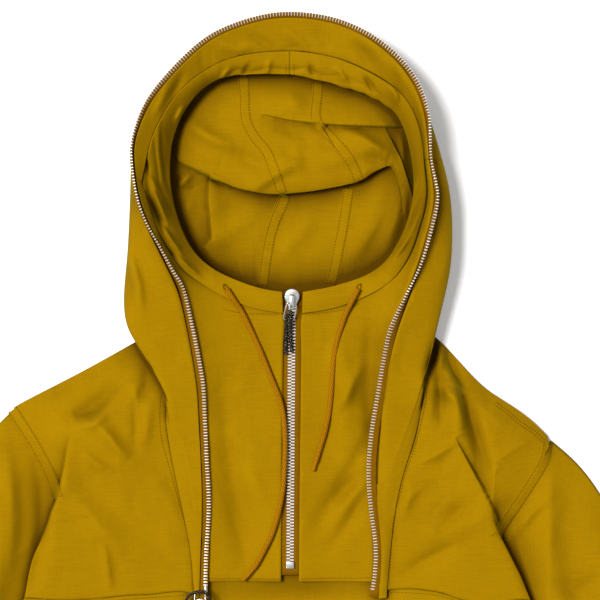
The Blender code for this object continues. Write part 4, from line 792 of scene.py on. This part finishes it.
# ---------------------------- the sewing
# Lockstitch in matching thread, a shade browner than the cloth: a double row on each felled seam,
# single rows along the princess seams, the chest seams, the bib's hem and the tunnel, and the
# buttonholes' bars.
THREAD = woven_finish("sewing_thread", (0.100, 0.042, 0.0), (0.150, 0.070, 0.0), (0.190, 0.095, 0.0),
                      2500, 0.8, 0.0, 0.00003)
BIB = ("bib_left", "bib_right")
BAND = ("band_left", "band_right")
YOKE = ((207, 197), (220, 188), (230, 179), (246, 168), (257, 158))
ROWS = [  # nodes, how far to the left of the way, then x, y along a seam
    (("chest_left", "hood_left"), -3.2, ((-125, 206), (-127, 194), (-126, 165), (-117, 131), (-108, 97),
                                         (-100, 68), (-95.5, 34), (-95, 12))),
    (("chest_right", "hood_right"), 3.2, ((135, 222), (132.5, 199), (127.5, 175), (120.6, 150), (113, 129),
                                          (106, 102), (100, 78), (98, 46), (96, 14))),
    (("front_lower",), 3.4, ((-99, 8), (-130, 6), (-160, 4), (-190, 1.5), (-204, 0.5), (-235, -3))),
    (("front_lower",), -3.4, ((86, 9), (95, 9.5), (110, 10.5), (141, 8.5), (160, 4.5), (174, 0),
                              (205, -9))),
    (BIB, 0, ((-81, 21), (-40, 20.5), (-12, 20.5))), (BIB, 0, ((12, 20.5), (40, 21), (80, 21.5))),
    (("band_left", "bib_left"), 0, ((-66, 291), (-50, 287), (-30, 286), (-12, 286))),
    (("band_right", "bib_right"), 0, ((13, 286), (30, 287), (52, 290), (68, 296))),
    (("hood_left",), 0, ((-122, 505), (-130, 484), (-138, 460), (-142, 435), (-150, 418))),
    (("chest_right",), 0, YOKE), (("chest_right",), -3, YOKE),
    (("front_lower",), 0, ((-226, -404), (-100, -408), (100, -408), (226, -404))),
    (BAND, 0, ((-4, 535), (-4, 523))), (BAND, 0, ((4, 535), (4, 523))),
]


def block(name, sections, sides=8, finish=None):
    """A small closed solid along Y through sections of (y, half x, half z), in millimetres."""
    turn = (np.arange(sides) + 0.5) * 2 * math.pi / sides
    square = np.stack([np.cos(turn), np.sin(turn)], axis=1)
    square /= np.abs(square).max()
    rings = np.array([[(x * wide, y, z * thick) for x, z in square] for y, wide, thick in sections]) * MM
    return tube_mesh(name, rings, finish)


def row_tree():
    """Parts set side by side along lines, their Z turned to the line's "up"."""
    tree = bpy.data.node_groups.new("parts in a row", "GeometryNodeTree")
    for label, kind in (("Lines", "Geometry"), ("Part", "Object"), ("Pitch", "Float"), ("Wander", "Float"),
                        ("Seed", "Int"), ("Finish", "Material")):
        tree.interface.new_socket(label, in_out="INPUT", socket_type="NodeSocket" + kind)
    tree.interface.new_socket("Row", in_out="OUTPUT", socket_type="NodeSocketGeometry")
    given = tree.nodes.new("NodeGroupInput").outputs
    curve = add(tree, "GeometryNodeMeshToCurve", {"Mesh": given["Lines"]})
    even = add(tree, "GeometryNodeResampleCurve", {"Curve": curve, "Length": given["Pitch"]}, mode="LENGTH")
    ahead = add(tree, "GeometryNodeInputTangent")
    along = add(tree, "FunctionNodeAlignRotationToVector", {"Vector": ahead}, axis="X")
    up = add(tree, "GeometryNodeInputNamedAttribute", {"Name": "up"}, "Attribute", data_type="FLOAT_VECTOR")
    upright = add(tree, "FunctionNodeAlignRotationToVector", {"Rotation": along, "Vector": up}, axis="Z",
                  pivot_axis="X")
    part = add(tree, "GeometryNodeObjectInfo", {"Object": given["Part"]}, "Geometry")
    placed = add(tree, "GeometryNodeInstanceOnPoints", {"Points": even, "Instance": part,
                                                        "Rotation": upright})
    chance = add(tree, "FunctionNodeRandomValue", {0: (-1.0, -1.0, -1.0), 1: (1.0, 1.0, 1.0),
                                                   "Seed": given["Seed"]}, data_type="FLOAT_VECTOR")
    little = add(tree, "ShaderNodeVectorMath", {0: chance, "Scale": given["Wander"]}, operation="SCALE")
    turned = add(tree, "GeometryNodeRotateInstances", {"Instances": placed, "Rotation": little})
    real = add(tree, "GeometryNodeRealizeInstances", {"Geometry": turned})
    dressed = add(tree, "GeometryNodeSetMaterial", {"Geometry": real, "Material": given["Finish"]})
    feed(tree.nodes.new("NodeGroupOutput"), {"Row": dressed})
    return tree


ROW = row_tree()


def in_a_row(name, lines, part, pitch, finish, wander, smooth=True):
    """A piece of one part repeated along lines of (points, up), baked and attached to the garment."""
    points, ups, edges = [], [], []
    for line, up in lines:
        edges += [(len(points) + k, len(points) + k + 1) for k in range(len(line) - 1)]
        points += [tuple(p) for p in line]
        ups += [tuple(u) for u in up]
    wires = bpy.data.meshes.new(name)
    wires.from_pydata(points, edges, [])
    kept = wires.attributes.new("up", "FLOAT_VECTOR", "POINT")
    kept.data.foreach_set("vector", np.array(ups, np.float32).ravel())
    holder = set_out(name, wires)
    rows = holder.modifiers.new("row", "NODES")
    rows.node_group = ROW
    sockets = {item.name: item.identifier for item in ROW.interface.items_tree if item.in_out == "INPUT"}
    for label, value in (("Part", part), ("Pitch", pitch), ("Wander", wander), ("Seed", 7),
                         ("Finish", finish)):
        rows[sockets[label]] = value
    mesh = baked(holder)
    mesh.name = name
    for extra in [a.name for a in mesh.attributes if a.name in ("up", "strand")]:
        mesh.attributes.remove(mesh.attributes[extra])
    bpy.data.objects.remove(part)
    if smooth:
        mesh.shade_smooth()
    else:
        mesh.shade_flat()
    made = set_out(name, mesh)
    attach(made, "garment")
    return made


def along_cloth(line, nodes, over):
    """A line on the cloth with its up directions, over millimetres above it."""
    line = smooth_line(line, 2.0)[0]
    middle = dropped(line, nodes)
    left, right = dropped(aside(line, 1.5), nodes), dropped(aside(line, -1.5), nodes)
    up = np.cross(np.gradient(middle, axis=0), left - right)
    up /= np.linalg.norm(up, axis=1, keepdims=True)
    up[up[:, 2] < 0.3] = (0, 0, 1)
    return middle + up * over * MM, up


def straight_up(points, over):
    """The same where up is plain Z."""
    return points + np.array((0, 0, over * MM)), np.tile((0.0, 0.0, 1.0), (len(points), 1))


ROW_IN = 1.3        # how far inside a felled strip's edge each of its rows lies
STITCH = ((-0.28, 0.30, 0.10), (-0.20, 1.0, 0.24), (0.0, 1.25, 0.32), (0.20, 1.0, 0.24), (0.28, 0.30, 0.10))
sewn_lines = [along_cloth(aside(smooth_line(route, 2.0)[0], far), nodes, 0.12)
              for nodes, far, route in ROWS]
sewn_lines += [along_cloth(aside(smooth_line(route, 2.0)[0], edge * (wide / 2 - ROW_IN)), (name,), 0.10)
               for name, (nodes, wide, route) in FELLED.items() for edge in (-1, 1)]
sewing = in_a_row("sewing", sewn_lines, block("stitch", STITCH, 6), 3.0 * MM, THREAD, 0.10)

BUTTONHOLES = ((-63.5, 311.5, -0.60), (68.5, 311.5, 0.45))       # x, y and lean of the slit
BAR = ((-1.1, 0.16, 0.10), (-0.8, 0.28, 0.30), (0.8, 0.28, 0.30), (1.1, 0.16, 0.10))
holes = []
for x, y, lean in BUTTONHOLES:
    turn = np.linspace(0, 2 * math.pi, 49)
    along, across = 4.6 * np.cos(turn), 1.9 * np.sin(turn)
    ring = np.stack([x + along * math.sin(lean) + across * math.cos(lean),
                     y + along * math.cos(lean) - across * math.sin(lean)], axis=1)
    holes.append(straight_up(dropped(ring, BAND + BIB), 0.1))
buttonholes = in_a_row("buttonhole_bars", holes, block("bar", BAR, 6), 0.75 * MM, THREAD, 0.08)


# ---------------------------- the zips' tapes
# Two woven cotton tapes, browner than the cloth: the long one open from the left of the chest over
# the hood to the right, the short one closed down the bib. Each is sewn under the cloth's edge.
TAPE_WEAVE = woven_finish("tape_weave", (0.150, 0.060, 0.0), (0.205, 0.088, 0.0), (0.260, 0.118, 0.0),
                          1500, 0.85, 0.0, 0.0002)
for node, wide, long, area in (("hood_zip_tape", 0.0125, 1.450, 0.0165),
                               ("neck_zip_tape", 0.0250, 0.285, 0.0067)):
    tape = finished(node + "_woven", smoothed(node, 2, cut=0.0), TAPE_WEAVE)
    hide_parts(node)
    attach(tape, "garment")
    LAID[node] = tape


# ---------------------------- the zips' teeth
# Polished white metal teeth clamped over each tape's beaded edge. The long zip is open, so its one
# row stands free; the short zip's two rows mesh, each tooth in the gap between two of the other's.
ZIP = [  # x, y, z, turn of the tape: 0 lies outwards, 90 hangs straight down, 150 lies inwards
    (-85, 2, 22, 6), (-84, 45, 23, 6), (-81.4, 95, 25, 6), (-83.5, 142, 28, 6), (-85.4, 185, 32, 8),
    (-87, 216, 36, 14), (-92, 247, 41, 30), (-97, 272, 46, 45), (-106, 310, 52, 60),
    (-117, 330, 56, 70), (-130, 354, 59, 84), (-143, 378, 61, 90), (-152, 404, 62, 92),
    (-157, 440, 60, 96), (-155, 464, 57, 108), (-141.5, 498, 51, 135), (-115, 531, 45, 148),
    (-83, 560.5, 41, 152), (-50, 576, 38.5, 152), (-13, 585, 37.5, 150), (25, 583.5, 37.5, 150),
    (60, 574, 39.5, 152), (95, 553, 44, 150), (123, 522, 50, 145), (137, 485, 56, 116),
    (140, 440, 61, 102), (146, 404, 63, 114), (141, 374, 62, 120), (130, 336, 58, 100),
    (116, 305, 52, 70), (101, 272, 45, 35), (94, 242, 39, 16), (88, 206, 34, 9), (81.5, 165, 30, 6),
    (79, 126, 27, 6), (81.5, 90, 25.5, 6), (86, 53, 24, 6), (85, 25, 23, 6), (81.5, 2, 22, 6),
]
HOOD_TEETH = (0.30, 37.62)      # rows of the table where the teeth begin and end
HOOD_PITCH = 3.0
NECK_PITCH = 3.12
NECK_TEETH = ((294, 2.0), (38, 0.0))        # y and x of the middle of the closed teeth, top and bottom


def metal_finish(name, tone, roughness, metallic):
    """Polished metal, faintly clouded."""
    made, tree, shader = new_finish(name, {"Metallic": metallic})
    cloud = noise(tree, 300, 3)
    shade = tones(tree, cloud, (0.3, [0.82 * part for part in tone]), (0.7, tone))
    dull = add(tree, "ShaderNodeMapRange", {"Value": cloud, "To Min": roughness * 0.8,
                                            "To Max": roughness * 1.3}, "Result")
    feed(shader, {"Base Color": shade, "Roughness": dull})
    return made


WHITE_METAL = metal_finish("white_metal", (0.93, 0.93, 0.90), 0.28, 0.40)
TOOTH = ((-2.5, 0.30, 0.75), (-2.2, 0.62, 1.20), (-1.2, 0.72, 1.32), (0.6, 0.72, 1.32), (1.7, 0.60, 1.15),
         (2.0, 0.30, 0.70))
place = np.linspace(*HOOD_TEETH, 600)
edge = spline(ZIP, place)
ahead = spline(ZIP, place + 0.05) - spline(ZIP, place - 0.05)
out = np.stack([-ahead[:, 1], ahead[:, 0], np.zeros(len(place))], axis=1)
out /= np.linalg.norm(out, axis=1, keepdims=True)
turn = np.radians(edge[:, 3:4])
away = out * np.sin(turn) + np.array((0, 0, 1)) * np.cos(turn)
in_a_row("hood_zip_teeth", [(edge[:, :3] * MM, away)], block("tooth", TOOTH), HOOD_PITCH * MM,
         WHITE_METAL, 0.02, smooth=False)

top, bottom = NECK_TEETH
lines = []
for side, start in ((-1, 0.0), (1, 0.5)):
    y = np.linspace(top[0], bottom[0], 120) - start * NECK_PITCH
    x = bottom[1] + (top[1] - bottom[1]) * (y - bottom[0]) / (top[0] - bottom[0]) + side * 1.85
    lines.append(straight_up(dropped(np.stack([x, y], axis=1), ("neck_zip_tape",)), 0.2))
SHORT_TOOTH = ((-2.0, 0.55, 0.9), (-1.7, 0.80, 1.2), (1.7, 0.80, 1.2), (2.0, 0.55, 0.9))
in_a_row("neck_zip_teeth", lines, block("short_tooth", SHORT_TOOTH), NECK_PITCH * MM,
         WHITE_METAL, 0.02, smooth=False)


# ---------------------------- sliders, pulls and stops
# Cast sliders with a bridge each, a bent wire pull hanging from the bridge, and the stop at the foot
# of the short zip. Every edge is rounded, as tumbled castings are.
CAST_METAL = metal_finish("cast_metal", (0.80, 0.80, 0.78), 0.22, 0.80)
for node, rounding in (("neck_zip_slider", 0.5), ("hood_zip_slider", 0.5), ("neck_zip_stop", 0.4)):
    shape = bmesh.new()
    shape.from_mesh(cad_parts[node].data)
    bmesh.ops.remove_doubles(shape, verts=shape.verts, dist=1e-6)
    bmesh.ops.dissolve_limit(shape, verts=shape.verts, edges=shape.edges, angle_limit=math.radians(2))
    solid = bpy.data.meshes.new(node + "_cast")
    shape.to_mesh(solid)
    shape.free()
    cast = finished(node + "_cast", solid, CAST_METAL)
    rounded = cast.modifiers.new("rounded", "BEVEL")
    rounded.width = rounding * MM
    rounded.segments = 3
    rounded.angle_limit = math.radians(35)
    rounded.harden_normals = True
    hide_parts(node)
    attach(cast, "garment")
for node, body in (("neck_zip_pull", "neck_pull"), ("hood_zip_pull", "hood_pull")):
    wire = finished(node + "_wire", smoothed(node, 2, cut=0.0, sharp=math.pi), CAST_METAL)
    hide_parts(node)
    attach(wire, body)
PIN = ((-4.0, 1.3, 0.8), (-3.4, 1.8, 1.3), (3.4, 1.8, 1.3), (4.0, 1.3, 0.8))
pin = block("hood_zip_pin", PIN, finish=CAST_METAL)
for corner in pin.data.vertices:
    corner.co += Vector((-84.4, 10.5, 23.4)) * MM
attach(pin, "garment")


# ---------------------------- the pulls' cord tags
# A short end of thin black braid flecked with gold, looped through each wire pull.
# its darkest tone is painted shade between the strands
TAG_YARN = strand_finish("tag_yarn", (0.002, 0.002, 0.002), (0.016, 0.014, 0.012), (0.80, 0.68, 0.40), 0.7,
                         0.635)
NECK_TAG = [
    (-4.2, 245.5, 33.6), (-4.2, 253, 34.0), (-4.0, 262, 34.6), (-3.8, 271, 35.2), (-3.6, 277, 37.4),
    (-3.2, 281, 38.0), (-2.4, 285, 37.5), (-1.4, 287.8, 37.1), (-0.4, 288.2, 37.0), (0.6, 287, 37.1),
    (0.9, 284, 37.4), (0.8, 280, 38.0), (0.6, 276, 37.4), (0.4, 270, 35.2), (0.6, 262, 34.6),
    (1.2, 254, 34.0), (1.8, 247.5, 33.6),
]
HOOD_TAG = [
    (-104.5, -3, 26.8), (-103, 1.5, 28.8), (-99.5, 5.5, 31), (-95, 7.9, 32.4), (-90, 8.6, 32.7),
    (-85.5, 8, 32.5), (-82, 5.2, 31.5), (-80.6, 1, 29.6), (-80.2, -3, 27.8),
]
for node, body, route, thick in (("neck_zip_pull_cord", "neck_pull", NECK_TAG, 3.5),
                                 ("hood_zip_pull_cord", "hood_pull", HOOD_TAG, 3.1)):
    tag = braid(node + "_braid", np.array(route) * MM, thick * MM, TAG_YARN, twist=0.014, around=24,
                step=0.0006)
    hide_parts(node)
    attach(tag, body)


# ---------------------------- painted shade in the folds
# Painted shade: the woven pieces' colour is darkened where cloth stands round or over them and shuts
# out the light. Each point is marked with how much of the sky it sees past what stands round it, and their
# finishes read that.
CELL = 2.5                      # millimetres across a square of the map of heights
MAP_FROM = np.array((-540.0, -470.0))
MAP_SIZE = (426, 434)
REACH = (4, 8, 13, 20, 32)      # how far out from a point the heights round it are read
DIRECTIONS = 10                 # and in how many directions
LIFT = 0.4                      # cloth that stands no more than this over a point hides no sky
COVER = (3, 12)                 # cloth lying this high over a point darkens it with painted shade, from none to all
SHADE_UNDER_SHARE = 0.35                   # of this share


def four_sides(top):
    """The heights of the four squares beside each."""
    return np.stack([np.roll(top, step, axis) for axis in (0, 1) for step in (1, -1)])


def height_map(woven):
    """The top of the cloth over each square of the floor, blurred a little."""
    top = np.full(MAP_SIZE, -1.0)
    for piece in woven:
        points = read(piece.data.vertices, "co") / MM
        cell = np.round((points[:, :2] - MAP_FROM) / CELL).astype(int)
        np.maximum.at(top, (cell[:, 0], cell[:, 1]), points[:, 2])
    for _ in range(3):
        sides = four_sides(top)
        count = (sides >= 0).sum(axis=0)
        mean = np.where(sides >= 0, sides, 0).sum(axis=0) / np.maximum(count, 1)
        top = np.where((top < 0) & (count > 1), mean, top)
    top = np.maximum(top, 0)
    return (2 * top + four_sides(top).sum(axis=0)) / 6


def height_at(high, plan):
    """The map's height at each x, y."""
    at = np.clip((plan - MAP_FROM) / CELL, 0, np.array(MAP_SIZE) - 1.001)
    k = at.astype(int)
    f = at - k
    x, y = k[:, 0], k[:, 1]
    low = high[x, y] * (1 - f[:, 0]) + high[x + 1, y] * f[:, 0]
    far = high[x, y + 1] * (1 - f[:, 0]) + high[x + 1, y + 1] * f[:, 0]
    return low * (1 - f[:, 1]) + far * f[:, 1]


# the sky seen by each point, which the woven finishes turn into painted shade
heights = height_map(LAID.values())
for piece in list(LAID.values()) + [sewing, buttonholes]:
    points = read(piece.data.vertices, "co") / MM
    seen = np.zeros(len(points))
    for turn in np.arange(DIRECTIONS) * 2 * math.pi / DIRECTIONS:
        slope = np.zeros(len(points))
        for far in REACH:
            beside = points[:, :2] + far * np.array((math.cos(turn), math.sin(turn)))
            slope = np.maximum(slope, (height_at(heights, beside) - points[:, 2] - LIFT) / far)
        seen += 1 / (1 + slope ** 2) / DIRECTIONS
    cover = height_at(heights, points[:, :2]) - points[:, 2]
    seen *= 1 - SHADE_UNDER_SHARE * np.clip((cover - COVER[0]) / (COVER[1] - COVER[0]), 0, 1)
    for _ in range(6):
        total, count = from_neighbours(piece.data, seen)
        seen = (seen + total) / (1 + count)
    piece.data.attributes.new("open", "FLOAT", "POINT").data.foreach_set("value", seen.astype(np.float32))
